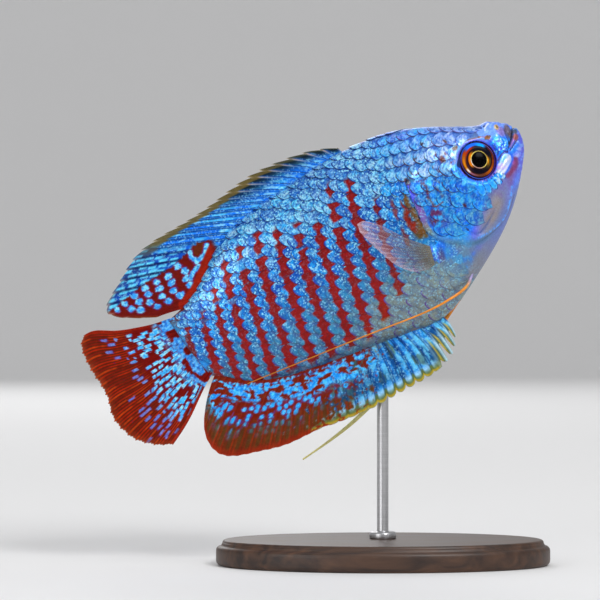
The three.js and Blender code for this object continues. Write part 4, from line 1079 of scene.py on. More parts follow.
        col = mix(col, c0, line_on(us, hs, line, width) * (0.55 + 0.5 * nf) * (hs < 9))
    for su, sh_, ru, rh, tl, c0 in HEAD_SPOTS:
        col = mix(col, c0, blob(us + 0.25 * (nf - 0.5), hs + 0.25 * (nz - 0.5), su, sh_, ru, rh, tl, 0.3) * 0.95)
    # the scales' side walls take a dark navy, paler blue on the head, as far as the rims are dark, else the face's
    # colour; all are darkened by 0.85 as painted shade
    walls = np.zeros((N, n_rim, 3)) + mix(np.zeros((N, n_rim, 3)) + rgb(14, 30, 84), rgb(104, 120, 206), (1 - smooth(U[..., 0], 17.0, 20.0)) * 0.7 + np.zeros((N, n_rim)))
    wd = np.clip(amount[:, -1, :].mean(-1), 0, 1)[:, None, None] * 0.8 * (1 - cover[:, ri, rj][..., None])
    walls = walls * wd + (1 - wd) * col[:, ri, rj]
    cols_all = np.concatenate([col.reshape(N, n_top, 3), walls * 0.85], 1)
    sp_all = np.concatenate([(spark * (1 - edge * 0.8)).reshape(N, n_top), np.zeros((N, n_rim))], 1)
    # baking cells: one per scale, at its column and row
    order = np.lexsort((ROW, K))
    out = []
    limits = np.percentile(K, [0, 50, 100])
    groups = [(K <= limits[1]), (K > limits[1])]
    labels = ("front", "rear")
    mat = bpy.data.materials.get("scale_coat") or node_material(
        "scale_coat", rough=(0.26, 0.42), metal=0.55, coat=0.12, coat_rough=0.15, grain=0.15, grain_scale=4600, bump=0.02, bump_scale=5200, sparkle=0.7)
    for who, label in zip(groups, labels):
        idx = np.where(who & sound)[0]
        n = len(idx)
        v = pts[idx].reshape(-1, 3).copy()
        v[:, 2] *= side_sign
        c = cols_all[idx].reshape(-1, 3)
        spv = sp_all[idx].ravel()
        basei = (np.arange(n) * per)[:, None, None]
        flip = side_sign < 0
        fs = []
        for f in (g, wall, bottom):
            ff = (f[None] + basei).reshape(-1, f.shape[1])
            fs.append(ff)
        # orientation: top faces look outwards
        w = world(*v.T)
        a, bb, cc = w[fs[0][:, 0]], w[fs[0][:, 1]], w[fs[0][:, 2]]
        outward = nrm[idx].reshape(-1, 3).copy()
        outward[:, 2] *= side_sign
        ow = np.stack([-outward[:, 0] * CP - outward[:, 1] * SP, outward[:, 2], -outward[:, 0] * SP + outward[:, 1] * CP], -1)
        first = fs[0][:, 0]
        topid = (first // per) * n_top + (first % per)
        sgn = np.median(np.sum(np.cross(bb - a, cc - a) * ow[topid], -1))
        if sgn < 0:
            fs = [f[:, ::-1] for f in fs]
        # unwrap
        k0, r0 = K[idx].min(), np.floor(ROW[idx].min())
        nk, nr = K[idx].max() - k0 + 1, int(np.ceil(ROW[idx].max()) - r0 + 2)
        cu, cv = (K[idx] - k0) / nk, (ROW[idx] - r0) / nr
        lu = np.zeros((per, 2))
        lu[:n_top, 0] = 0.06 + 0.70 * xi.ravel()
        lu[:n_top, 1] = 0.06 + 0.88 * (eta.ravel() * 0.5 + 0.5)
        ang = 2 * np.pi * np.arange(n_rim) / n_rim
        wall_uv = lu.copy()
        cell = np.array([1.0 / nk, 1.0 / nr])
        org = np.stack([cu, cv], -1)

        def uv_for(fs_i, kind):
            scale_id = fs_i // per
            loc = fs_i % per
            if kind == 0:
                l = lu[loc]
            else:
                # walls and undersides: a narrow strip beside the scale's face
                isrim = loc >= n_top
                pos = np.where(isrim, loc - n_top, 0)
                inv = np.full(n_top, 0)
                inv[ids] = np.arange(n_rim)
                pos = np.where(isrim, pos, inv[np.minimum(loc, n_top - 1)])
                if kind == 1:
                    # unroll; the last quad wraps
                    wrapq = (pos.max(1) - pos.min(1) > n_rim / 2)[:, None] & (pos == 0)
                    pos = np.where(wrapq, n_rim, pos)
                    l = np.stack([np.where(isrim, 0.86, 0.81), 0.06 + 0.88 * pos / n_rim], -1)
                else:
                    a = 2 * np.pi * pos / n_rim
                    l = np.stack([0.925 + 0.03 * np.cos(a), 0.5 + 0.42 * np.sin(a)], -1)
            return (org[scale_id] + l * cell).reshape(-1, 2)
        uv = np.vstack([uv_for(f, i) for i, f in enumerate(fs)])
        name = "scales_%s_%s" % ("right" if side_sign < 0 else "left", label)
        o = build_object(name, w, fs, c, spark=spv, uv=uv, material=mat)
        piece(o, "skin")
        out.append(o)
    return out, N


# ------------------------------------------------------------------ fins
def coons(root, margin, first, last):
    """A patch between four curves: root and margin run along a; first and last run along b at a = 0 and 1."""
    def at(a, b):
        r, m, f, l = (np.stack(c, -1) for c in (root(a), margin(a), first(b), last(b)))
        c00, c10 = (np.stack([np.asarray(x, float) for x in root(v)], -1) for v in (0.0, 1.0))
        c01, c11 = (np.stack([np.asarray(x, float) for x in margin(v)], -1) for v in (0.0, 1.0))
        A, B = a[..., None], b[..., None]
        return r * (1 - B) + m * B + f * (1 - A) + l * A - (c00 * (1 - A) * (1 - B) + c10 * A * (1 - B) + c01 * (1 - A) * B + c11 * A * B)
    return at


def straight(p, q, bow=0.0):
    p, q = np.asarray(p, float), np.asarray(q, float)
    d = q - p
    nrm = np.array([-d[1], d[0]])

    def at(b):
        b = np.asarray(b, float)
        return [p[0] + d[0] * b + nrm[0] * bow * b * (1 - b), p[1] + d[1] * b + nrm[1] * bow * b * (1 - b)]
    return at


def fin_mesh(name, at, rays, per_ray, rows, cut, thickness, lateral, colour, slot, nodes, material, clear=None, b_power=1.0):
    """at(a, b) -> (u, h); cut(a) -> where the margin lies (share of b); thickness(a, b, fr) half thickness in mm; lateral(a, b) -> y."""
    cols = rays * per_ray
    a = np.linspace(0, 1, cols + 1)
    bb = np.linspace(0, 1, rows + 1) ** b_power
    A, B = np.meshgrid(a, bb, indexing="ij")
    Bc = B * cut(A)
    P = at(A, Bc)
    fr = A * rays - np.round(A * rays)              # 0 on a ray
    half = thickness(A, Bc, fr) * (1 - 0.75 * smooth(B, 0.965, 1.0))
    half = half * (1 - 0.6 * (smooth(-A, -0.006, 0.0) + smooth(A, 0.994, 1.0)))
    y = lateral(A, Bc)
    n, m = A.shape
    pts = np.concatenate([np.stack([P[..., 0], P[..., 1], y + half], -1).reshape(-1, 3),
                          np.stack([P[..., 0], P[..., 1], y - half], -1).reshape(-1, 3)])
    f1 = grid_faces(n, m)
    f2 = grid_faces(n, m, n * m, flip=True)
    i = np.arange(n - 1)
    j = np.arange(m - 1)
    o = n * m
    e1 = np.stack([i * m, i * m + o, (i + 1) * m + o, (i + 1) * m], -1)
    e2 = np.stack([i * m + m - 1, (i + 1) * m + m - 1, (i + 1) * m + m - 1 + o, i * m + m - 1 + o], -1)
    e3 = np.stack([j, j + 1, j + 1 + o, j + o], -1)
    q = (n - 1) * m
    e4 = np.stack([q + j, q + j + o, q + j + 1 + o, q + j + 1], -1)
    faces = [f1, f2, e1, e2, e3, e4]
    w = world(*pts.T)
    v0, v1, v2 = w[f1[:, 0]], w[f1[:, 1]], w[f1[:, 2]]
    if np.median(np.cross(v1 - v0, v2 - v0)[:, 1]) < 0:
        faces = [f[:, ::-1] for f in faces]
    col = colour(A, Bc, B, fr, P[..., 0], P[..., 1])
    extra = None
    if isinstance(col, tuple):
        col, extra = col
    col2 = np.concatenate([col.reshape(-1, 3)] * 2)
    uvs = []
    for f in faces:
        second = f >= o
        k = f % o
        x, yv = (k // m) / (n - 1), (k % m) / (m - 1)
        both = second.any(1, keepdims=True) & (~second).any(1, keepdims=True)
        uvx = 0.01 + 0.98 * x
        uvy = np.where(second, 0.53 + 0.44 * yv, 0.03 + 0.44 * yv)
        uvy = np.where(both, 0.485 + 0.01 * second + 0.015 * yv, uvy)
        uvs.append(np.stack([uvx, uvy], -1).reshape(-1, 2))
    clr = None
    if extra is not None:
        clr = np.concatenate([extra.ravel()] * 2)
    blue = smooth(col2[:, 2] - col2[:, 0], 0.2, 0.55) * 0.42
    ob = build_object(name, w, faces, col2, spark=blue, clear=clr, uv=np.vstack(uvs), material=material)
    piece(ob, slot, *nodes)
    return ob


def cells(x, y, seed, jitter=0.35, keep=1.0):
    """Distance to the nearest spot of a jittered grid, its random number and its offset."""
    best = np.full(x.shape, 9.0)
    rnd, ox, oy = np.zeros(x.shape), np.zeros(x.shape), np.zeros(x.shape)
    bx, by = np.floor(x), np.floor(y)
    for dx in (-1, 0, 1):
        for dy in (-1, 0, 1):
            cx, cy = bx + dx, by + dy
            jx = cx + 0.5 + jitter * (hash01(cx, cy, seed) - 0.5) * 2
            jy = cy + 0.5 + jitter * (hash01(cx, cy, seed + 1) - 0.5) * 2
            r = hash01(cx, cy, seed + 2)
            d = np.hypot(x - jx, y - jy) + (r > keep) * 9
            near = d < best
            best = np.where(near, d, best)
            rnd = np.where(near, r, rnd)
            ox, oy = np.where(near, x - jx, ox), np.where(near, y - jy, oy)
    return best, rnd, ox, oy


CYAN, AZURE, DEEP = rgb(64, 196, 255), rgb(14, 112, 236), rgb(6, 52, 140)


# ---- dorsal
D_ROOT = Outline([(24.6, 12.9), (31, 12.9), (38, 12.5), (44.5, 11.6), (50, 9.4), (54.4, 6.7), (57.2, 5.4)])
D_MARGIN = Outline([(24.6, 15.2), (28.3, 16.9), (33.1, 18.0), (38.3, 18.55), (44.9, 17.9), (51.5, 17.5), (56.5, 17.5), (60.2, 16.9),
                    (65.2, 14.4), (68.9, 11.5), (66.3, 8.9), (62.6, 6.85)])
D_PAIRS = [((24.6, 12.9), (24.6, 15.2)), ((27.6, 12.95), (33.1, 18.0)), ((32, 12.85), (40.4, 18.4)), ((38, 12.5), (48, 17.65)),
           ((44, 11.7), (55.8, 17.5)), ((48, 10.3), (62, 16.1)), ((51, 8.9), (65.8, 14.0)), ((53.5, 7.3), (68.7, 11.8)),
           ((55, 6.4), (67.4, 9.9)), ((56.2, 5.8), (64.8, 8.0)), ((57.2, 5.4), (62.6, 6.85))]


def paired(root, margin, pairs):
    rs = np.array(root.share([p[0] for p in pairs]))
    ms = np.array(margin.share([p[1] for p in pairs]))
    rs[0], rs[-1], ms[0], ms[-1] = 0, 1, 0, 1
    q = 0.45 * rs + 0.55 * ms
    fr, fm = spline_mono(q, rs), spline_mono(q, ms)
    return (lambda a: root(fr(a))), (lambda a: margin(fm(a)))


def spline_mono(x, y):
    """Monotone cubic through the knots."""
    x, y = np.asarray(x, float), np.asarray(y, float)
    h, d = np.diff(x), np.diff(y) / np.diff(x)
    m = np.zeros(len(x))
    m[1:-1] = np.where(d[:-1] * d[1:] > 0, 2 * d[:-1] * d[1:] / np.maximum(d[:-1] + d[1:], 1e-12), 0)
    m[0], m[-1] = d[0], d[-1]

    def at(v):
        v = np.asarray(v, float)
        i = np.clip(np.searchsorted(x, v) - 1, 0, len(x) - 2)
        t = (v - x[i]) / h[i]
        return (y[i] * (2 * t ** 3 - 3 * t ** 2 + 1) + y[i + 1] * (3 * t ** 2 - 2 * t ** 3)
                + h[i] * m[i] * (t ** 3 - 2 * t ** 2 + t) + h[i] * m[i + 1] * (t ** 3 - t ** 2))
    return at


DORSAL_BLOTS = ((55.45, 12.0, 4, 0.58), (57.95, 11.4, 4, 0.62), (60.0, 11.6, 4, 0.62), (62.0, 11.7, 4, 0.56), (63.9, 11.5, 3, 0.54), (65.6, 11.2, 2, 0.5), (67.1, 11.0, 1, 0.45))


def dorsal_colour(a, b, B, fr, u, h):
    N = 25
    R = a * N
    f = R - np.floor(R)                           # 0 just behind a ray, 1 at the next
    n1, n2 = fbm(u * 0.7, h * 0.7, 201), fbm(u * 2.4, h * 2.4, 203)
    col = np.zeros(a.shape + (3,)) + rgb(16, 116, 240)
    # streaks along the rays
    lane = noise(R * 2.0, b * 5 + 3 * np.floor(R), 205)
    col = mix(col, rgb(70, 186, 255), smooth(lane, 0.5, 0.75) * (1 - smooth(np.abs(f - 0.55), 0.18, 0.42)) * 0.9)
    col = mix(col, rgb(150, 222, 255), smooth(noise(R * 2.0 + 4, b * 9, 207), 0.62, 0.8) * (1 - smooth(np.abs(f - 0.5), 0.08, 0.25)) * 0.8)
    gl, grnd, gx, gy = cells(R * 3 + 0.5 * np.sin(b * 20 + R), b * 13 + 0.37 * np.floor(R * 3), 231, 0.42, 0.36)
    dashes = (1 - smooth(np.abs(gx), 0.2, 0.42)) * (1 - smooth(np.abs(gy), 0.22, 0.42)) * (gl < 2)
    col = mix(col, rgb(150, 228, 255), dashes * (0.4 + 0.6 * (grnd > 0.25)) * (1 - smooth(np.abs(fr), 0.02, 0.1) * 0) * 0.85)
    front = 1 - smooth(a, 0.28, 0.46)
    # painted shade: the membrane between the front rays darkened to dark blue and near black, standing for the dark
    # seen through the thin clear membrane
    col = mix(col, rgb(6, 52, 96), front * smooth(b, 0.25, 0.75) * 0.75)
    col = mix(col, rgb(4, 44, 110), (1 - smooth(np.abs(f - 0.86), 0.05, 0.16)) * 0.8)
    col = mix(col, rgb(2, 22, 34), front * smooth(b, 0.45, 0.8) * (1 - smooth(np.abs(f - 0.42), 0.18, 0.4)) * 0.9)
    col = mix(col, rgb(4, 40, 96), (1 - front) * (1 - smooth(np.abs(f - 0.12), 0.05, 0.16)) * 0.7)
    col = mix(col, rgb(3, 34, 84), (1 - front) * (1 - smooth(np.abs(f - 0.3), 0.05, 0.2)) * smooth(b, 0.3, 0.7) * 0.5)
    col = mix(col, rgb(3, 30, 70), smooth(-b, -0.16, -0.02) * 0.35 * (1 - smooth(a, 0.7, 0.8)))
    # rays, brownish and pale to the tip at the front
    onray = 1 - smooth(np.abs(fr), 0.05, 0.13)
    col = mix(col, rgb(60, 150, 236), onray * 0.5)
    col = mix(col, rgb(188, 156, 142), onray * front * smooth(b, 0.35, 0.85) * 0.9)
    # olive margin
    olive = smooth(B, 0.79, 0.86) * smooth(a, 0.08, 0.22) * (1 - smooth(a, 0.74, 0.88))
    col = mix(col, rgb(104, 88, 44), olive * 0.92)
    col = mix(col, rgb(84, 78, 50), smooth(B, 0.82, 0.95) * (1 - smooth(a, 0.1, 0.3)) * 0.7)
    # rear: cyan dashes between dark lines
    rear = smooth(a, 0.60, 0.72)
    dash, rnd, ox, oy = cells(R * 2, b * 9 + 0.43 * (np.floor(R * 2) % 3), 211, 0.25, 0.92)
    mark = (1 - smooth(np.abs(ox), 0.22, 0.40)) * (1 - smooth(np.abs(oy), 0.30, 0.46)) * (dash < 2)
    zone = rear * smooth(b, 0.15, 0.35)
    col = mix(col, rgb(8, 58, 168), zone * 0.75)
    col = mix(col, rgb(96, 216, 255), zone * mark * 0.95)
    col = mix(col, rgb(6, 20, 70), zone * (1 - smooth(np.abs(fr), 0.06, 0.16)) * 0.85)
    # the dark red lobe below, with columns of cyan blots, and the brown blotch at its front
    top_line = np.interp(u, [49.0, 50.4, 52.0, 53.4, 55.6, 58.0, 62.0, 66.0, 69.0], [12.7, 13.4, 13.5, 13.1, 12.45, 12.35, 12.3, 11.7, 11.3])
    redzone = smooth(top_line - h + 0.6 * (n2 - 0.5), -0.12, 0.12) * smooth(u, 48.6, 49.6)
    redcol = mix(np.zeros(a.shape + (3,)) + rgb(110, 10, 2), rgb(86, 22, 16), smooth(n2, 0.5, 0.7) * 0.5)
    redcol = mix(redcol, rgb(96, 40, 8), blob(u, h, 51.5, 12.6, 1.3, 0.8, -35, 0.4) * 0.8)
    redcol = mix(redcol, rgb(124, 62, 18), smooth(B, 0.84, 0.97) * 0.75 * smooth(a, 0.9, 0.96))
    col = mix(col, redcol, redzone)
    rag = 0.9 * (fbm(u * 2.3, h * 2.3, 225) - 0.5)
    blots, rims = np.zeros(a.shape), np.zeros(a.shape)
    for cu, top, count, wide in DORSAL_BLOTS:
        for k in range(count):
            ch = top - 1.16 * k
            du = cu + 0.3 * (math.sin(cu * 3.1 + k * 2.3))
            r = np.hypot((u - du) / wide, (h - ch) / 0.50) + rag
            blots, rims = np.maximum(blots, 1 - smooth(r, 0.86, 1.06)), np.maximum(rims, 1 - smooth(r, 1.1, 1.45))
    for knots, wide in (([(50.2, 12.5), (50.8, 11.7), (51.8, 11.3), (52.9, 11.0)], 0.36), ([(52.6, 11.2), (53.2, 12.0), (52.9, 12.9)], 0.36), ([(55.0, 9.3), (54.0, 10.0), (52.9, 10.3)], 0.34)):
        d = line_info(u, h, knots, 10)[0] + 0.3 * rag
        blots, rims = np.maximum(blots, 1 - smooth(d, wide * 0.8, wide * 1.1)), np.maximum(rims, 1 - smooth(d, wide * 1.2, wide * 1.7))
    col = mix(col, rgb(104, 40, 130), redzone * rims * 0.7)
    blue = mix(np.zeros(a.shape + (3,)) + rgb(46, 150, 240), rgb(128, 220, 255), smooth(fbm(u * 3.2, h * 3.2, 227), 0.45, 0.6))
    col = mix(col, blue, redzone * blots)
    d, t, side = line_info(u, h, [(49.8, 11.6), (52.4, 9.7), (54.4, 8.2), (56.4, 7.1), (58.2, 6.5)], 14)
    col = mix(col, rgb(150, 26, 4), (1 - smooth(d, 0.5, 0.75)) * smooth(u, 49, 50.5))
    col = mix(col, rgb(150, 26, 4), smooth(np.interp(u, [49.8, 52.4, 54.4, 56.4, 58.2], [11.6, 9.7, 8.2, 7.1, 6.5]) - h, 0.0, 0.3) * smooth(u, 49.6, 50.5) * (1 - smooth(u, 58.5, 59.5)))
    col = mix(col, rgb(140, 110, 90), smooth(B, 0.955, 1.0) * 0.7 * smooth(a, 0.7, 0.85))
    # pale tips
    col = mix(col, rgb(214, 206, 200), onray * smooth(B, 0.9, 1.0) * (1 - 0.5 * smooth(a, 0.5, 0.8)))
    return col * (0.88 + 0.24 * n2[..., None])


def make_dorsal(mat):
    root, margin = paired(D_ROOT, D_MARGIN, D_PAIRS)
    at = coons(root, margin, straight((24.6, 12.9), (24.6, 15.2)), straight((57.2, 5.4), (62.6, 6.85), 0.12))
    N = 25

    def bent(a, b):
        P = at(a, b)
        # tips of the front rays curl back a little
        k = 0.5 * (1 - smooth(a, 0.5, 0.8)) * b ** 3 * 0.6
        P[..., 0] += k
        P[..., 1] -= k * 0.45
        return P

    def cut(a):
        f = np.clip(a * N - np.floor(a * N + 1e-9), 0, 1)
        depth = 0.05 * (1 - smooth(a, 0.45, 0.8)) + 0.05 * (1 - smooth(a, 0.15, 0.35)) + 0.022
        return 1 - depth * np.where(f < 1e-6, 0, (1 - f) ** 1.2) * smooth(f, 0.0, 0.1)

    def thick(a, b, fr):
        ray = bell(fr, 0.11)
        return 0.055 + 0.10 * (1 - smooth(b, 0.0, 0.25)) + ray * (0.15 - 0.09 * b) - 0.012 * np.cos(2 * np.pi * fr * 2)

    def lateral(a, b):
        return 0.16 * np.sin(a * 34) * b + 0.05 * np.sin(a * 2 * np.pi * N) * 0

    return fin_mesh("fin_dorsal_membrane", bent, N, 10, 84, cut, thick, lateral, dorsal_colour, "fin_blue", ["fin_dorsal"], mat)


# ---- anal
A_ROOT = Outline([(24.9, -14.7), (31, -13.9), (38, -12.7), (45.4, -11.2), (51.5, -9.6), (55.5, -7.4), (58.8, -5.0)])
A_MARGIN = Outline([(24.1, -19.4), (25.4, -21.2), (27.2, -22.2), (29.8, -22.8), (36.0, -22.75), (40.6, -22.6), (45.8, -21.9), (50.2, -21.2),
                    (55.9, -20.6), (60.4, -19.2), (65.5, -16.2), (65.7, -12.9), (63.3, -9.0)])
A_PAIRS = [((24.9, -14.7), (24.1, -19.4)), ((26.9, -14.5), (25.4, -21.2)), ((28.8, -14.2), (27.2, -22.2)), ((30.8, -13.9), (29.4, -22.8)),
           ((34.8, -13.3), (35.5, -22.8)), ((38.7, -12.6), (42, -22.4)), ((44.9, -11.3), (52, -21.0)), ((50, -10.0), (60.0, -19.4)),
           ((54, -8.3), (65.0, -16.6)), ((56.5, -6.8), (65.75, -13.2)), ((58.8, -5.0), (63.3, -9.0))]


def anal_colour(a, b, B, fr, u, h):
    N = 32
    R = a * N
    f = R - np.floor(R)
    n1, n2, n3 = fbm(u * 0.8, h * 0.8, 301), fbm(u * 2.6, h * 2.6, 303), fbm(u * 0.45, h * 0.45, 307)
    front = 1 - smooth(a + 0.34 * (n1 - 0.5) + 0.42 * (n2 - 0.5) + 0.18 * (0.5 - B), 0.34, 0.45)
    # front lobes: azure with navy lines
    c1 = np.zeros(a.shape + (3,)) + rgb(26, 136, 226)
    c1 = mix(c1, rgb(96, 184, 236), (1 - smooth(np.abs(f - 0.45), 0.1, 0.3)) * smooth(noise(R * 1.3, b * 4, 311), 0.4, 0.7) * 0.8)
    c1 = mix(c1, rgb(4, 66, 132), smooth(fbm(R * 1.1, b * 2.6 + 0.3 * R, 325), 0.5, 0.6) * 0.85)
    c1 = mix(c1, rgb(96, 200, 250), smooth(fbm(R * 1.7 + 5, b * 5.0 - 0.4 * R, 327), 0.53, 0.62) * 0.85)
    c1 = mix(c1, rgb(90, 96, 60), smooth(fbm(R * 0.9 + 9, b * 3.0, 331), 0.58, 0.66) * smooth(a, 0.12, 0.2) * 0.7)
    c1 = mix(c1, rgb(6, 50, 128), (1 - smooth(np.abs(f - 0.9), 0.06, 0.2)) * 0.8)
    c1 = mix(c1, rgb(4, 30, 84), (1 - smooth(np.abs(f - 0.08), 0.02, 0.12)) * 0.7)
    c1 = mix(c1, rgb(8, 60, 110), smooth(b, 0.5, 0.7) * (1 - smooth(b, 0.72, 0.8)) * 0.6 * smooth(a, 0.2, 0.35))
    bulb = bell(B - 0.86, 0.055) * (1 - smooth(np.abs(f - 0.5), 0.25, 0.42))
    band = smooth(B, 0.83, 0.90)
    c1 = mix(c1, rgb(92, 104, 44), band * 0.9)
    c1 = mix(c1, rgb(150, 206, 248), bulb * smooth(a, 0.10, 0.16) * 0.95)
    c1 = mix(c1, rgb(196, 160, 34), smooth(B, 0.93, 0.975) * 0.85)
    c1 = mix(c1, rgb(150, 200, 230), smooth(B, 0.975, 1.0) * 0.5)
    claw = 1 - smooth(a, 0.10, 0.15)
    c1 = mix(c1, rgb(70, 96, 84), claw * smooth(B, 0.45, 0.75) * 0.8)
    c1 = mix(c1, rgb(190, 226, 246), claw * (1 - smooth(np.abs(f - 0.12), 0.08, 0.2)) * smooth(B, 0.3, 0.6) * 0.9)
    c1 = mix(c1, rgb(196, 168, 50), claw * (1 - smooth(np.abs(f - 0.6), 0.06, 0.14)) * smooth(B, 0.4, 0.6))
    # rear: blotches of azure on red brown
    c2 = np.zeros(a.shape + (3,)) + rgb(120, 22, 0)
    c2 = mix(c2, rgb(96, 46, 14), smooth(n2, 0.5, 0.7) * 0.5 + (1 - smooth(np.abs(f - 0.5), 0.1, 0.35)) * 0.35 * smooth(b, 0.5, 0.7))
    L = (-(h) - np.interp(u, [24, 31, 38, 45, 52, 56, 60], [16.2, 15.3, 14.0, 12.7, 10.9, 9.0, 6.0]))   # mm below the body
    warp = 0.5 * (fbm(u * 0.9, h * 0.9, 313) - 0.5)
    row1, rnd1, ox, oy = cells(u / 1.1 + warp, L / 1.0 + warp + 0.15, 317, 0.34)
    row1 = row1 + 0.55 * (fbm(u * 2.3, h * 2.3, 329) - 0.5)
    chain = (1 - smooth(row1, 0.50, 0.60)) * smooth(L + 1.4 * (n2 - 0.5), 0.2, 0.6) * (1 - smooth(L + 1.6 * (n3 - 0.5), 3.4, 4.0))
    hole = smooth(fbm(u * 0.62 + 3, L * 1.25, 319, 2), 0.55, 0.60)
    chain = chain * (1 - hole)
    lane = L - 0.25 * u
    row2, rnd2, ox, oy = cells(R * 1.25, (L + 0.12 * u) / 1.3 + 0.5 * (np.floor(R * 1.25) % 2), 323, 0.28, 0.74)
    ox = ox + 0.16 * (n2 - 0.5)
    slim = 0.42 - 0.16 * smooth(L, 4.5, 7.5)
    spots = (1 - smooth(np.hypot(ox / slim, oy / 0.40) + 0.5 * (n2 - 0.5), 0.75, 1.0)) * smooth(L, 3.4, 4.1) * (1 - smooth(B + 0.12 * (rnd2 - 0.4), 0.72, 0.80))
    halo = np.maximum((1 - smooth(row1, 0.54, 0.68)) * (chain > -1) * smooth(L, 0, 0.4) * (1 - smooth(L, 4.0, 4.8)) * (1 - hole), 0)
    c2 = mix(c2, rgb(104, 44, 130), halo * 0.45)
    c2 = mix(c2, rgb(24, 150, 250), chain)
    c2 = mix(c2, rgb(96, 206, 255), chain * smooth(n2, 0.5, 0.66) * 0.7)
    fade = 1 - 0.7 * (1 - smooth(a, 0.42, 0.62)) * smooth(L, 4.5, 6.5)
    c2 = mix(c2, rgb(92, 50, 150), (1 - smooth(np.hypot(ox / 0.5, oy / 0.44), 0.9, 1.2)) * smooth(L, 3.6, 4.4) * (1 - smooth(B, 0.78, 0.88)) * 0.7 * (rnd2 < 0.72) * fade)
    c2 = mix(c2, rgb(40, 170, 255), spots * (rnd2 < 0.72) * fade)
    fine = 0.5 + 0.5 * np.cos(2 * np.pi * R * 3 + 2.0 * (noise(R, b * 3, 335) - 0.5))
    c2 = mix(c2, rgb(168, 44, 4), fine ** 2 * smooth(B, 0.55, 0.8) * (0.35 + 0.65 * smooth(noise(R * 2.2, b * 3, 337), 0.35, 0.6)) * 0.8)
    c2 = mix(c2, rgb(150, 40, 8), smooth(B, 0.90, 0.97) * 0.6)
    c2 = mix(c2, rgb(92, 56, 14), smooth(B, 0.58, 0.74) * (1 - smooth(B, 0.88, 0.96)) * (0.2 + 0.8 * (1 - fine ** 2)) * 0.65)
    c2 = mix(c2, rgb(70, 60, 24), smooth(B, 0.55, 0.75) * (1 - smooth(np.abs(f - 0.35), 0.08, 0.2)) * 0.55 * (1 - smooth(B, 0.9, 0.97)))
    c2 = mix(c2, rgb(206, 84, 50), smooth(B, 0.98, 1.0) * 0.7)
    col = c2 * (1 - front[..., None]) + c1 * front[..., None]
    # red bars run a little way into the fin
    tan = front * blob(u, h, 38.0, -16.0, 3.0, 1.2, -20, 0.6)
    col = mix(col, rgb(140, 84, 40), tan * smooth(n2, 0.45, 0.6) * 0.8)
    return col * (0.88 + 0.24 * n2[..., None])


def make_anal(mat):
    root, margin = paired(A_ROOT, A_MARGIN, A_PAIRS)
    at = coons(root, margin, straight((24.9, -14.7), (24.1, -19.4), 0.12), straight((58.8, -5.0), (63.3, -9.0), 0.15))
    N = 32

    def bent(a, b):
        P = at(a, b)
        k = (1 - smooth(a, 0.25, 0.45))
        P[..., 0] += -0.75 * k * np.sin(np.pi * np.clip(b, 0, 1)) * 0.8
        return P

    def cut(a):
        f = np.clip(a * N - np.floor(a * N + 1e-9), 0, 1)
        claws = 0.36 * (1 - smooth(a, 0.095, 0.13))
        bulbs = 0.055 * (1 - smooth(a, 0.28, 0.42)) + 0.014
        dip_claw = 0.16 * smooth(f, 0.2, 0.5) + 0.84 * smooth(f, 0.55, 0.76) * (1 - smooth(f, 0.9, 1.0))
        dip = np.abs(np.sin(np.pi * np.clip(f, 0, 1)))
        return 1 - claws * dip_claw - bulbs * (1 - dip ** 0.6) * (claws < 0.05) * smooth(a, 0.12, 0.2) - 0.02 * dip * (a > 0.5)

    def thick(a, b, fr):
        ray = bell(fr, 0.12)
        return 0.06 + 0.12 * (1 - smooth(b, 0.0, 0.25)) + ray * (0.16 - 0.09 * b) + 0.10 * (1 - smooth(a, 0.1, 0.2)) * (1 - b)

    def lateral(a, b):
        return 0.22 * np.sin(a * 27 + 1.0) * b

    return fin_mesh("fin_anal_membrane", bent, N, 8, 84, cut, thick, lateral, anal_colour, "fin_blue", ["fin_anal"], mat)


# ---- caudal
C_TOP = Outline([(58.9, 5.0), (61.3, 5.75), (63.2, 6.15), (66.1, 7.1), (69.7, 8.7), (72.6, 10.25), (73.9, 10.3)])
C_LOW = Outline([(58.4, -4.6), (60.1, -5.35), (61.4, -6.05), (66.4, -9.35), (70.8, -11.5)])
C_ROOT = Outline([(58.9, 5.0), (58.7, 2.5), (58.5, 0), (58.4, -2.5), (58.4, -4.6)])
C_MARGIN = Outline([(73.9, 10.3), (75.0, 9.5), (75.7, 7.4), (75.9, 4.0), (75.8, 0.4), (76.7, -2.6), (76.2, -6.4), (73.9, -9.6), (70.8, -11.5)])


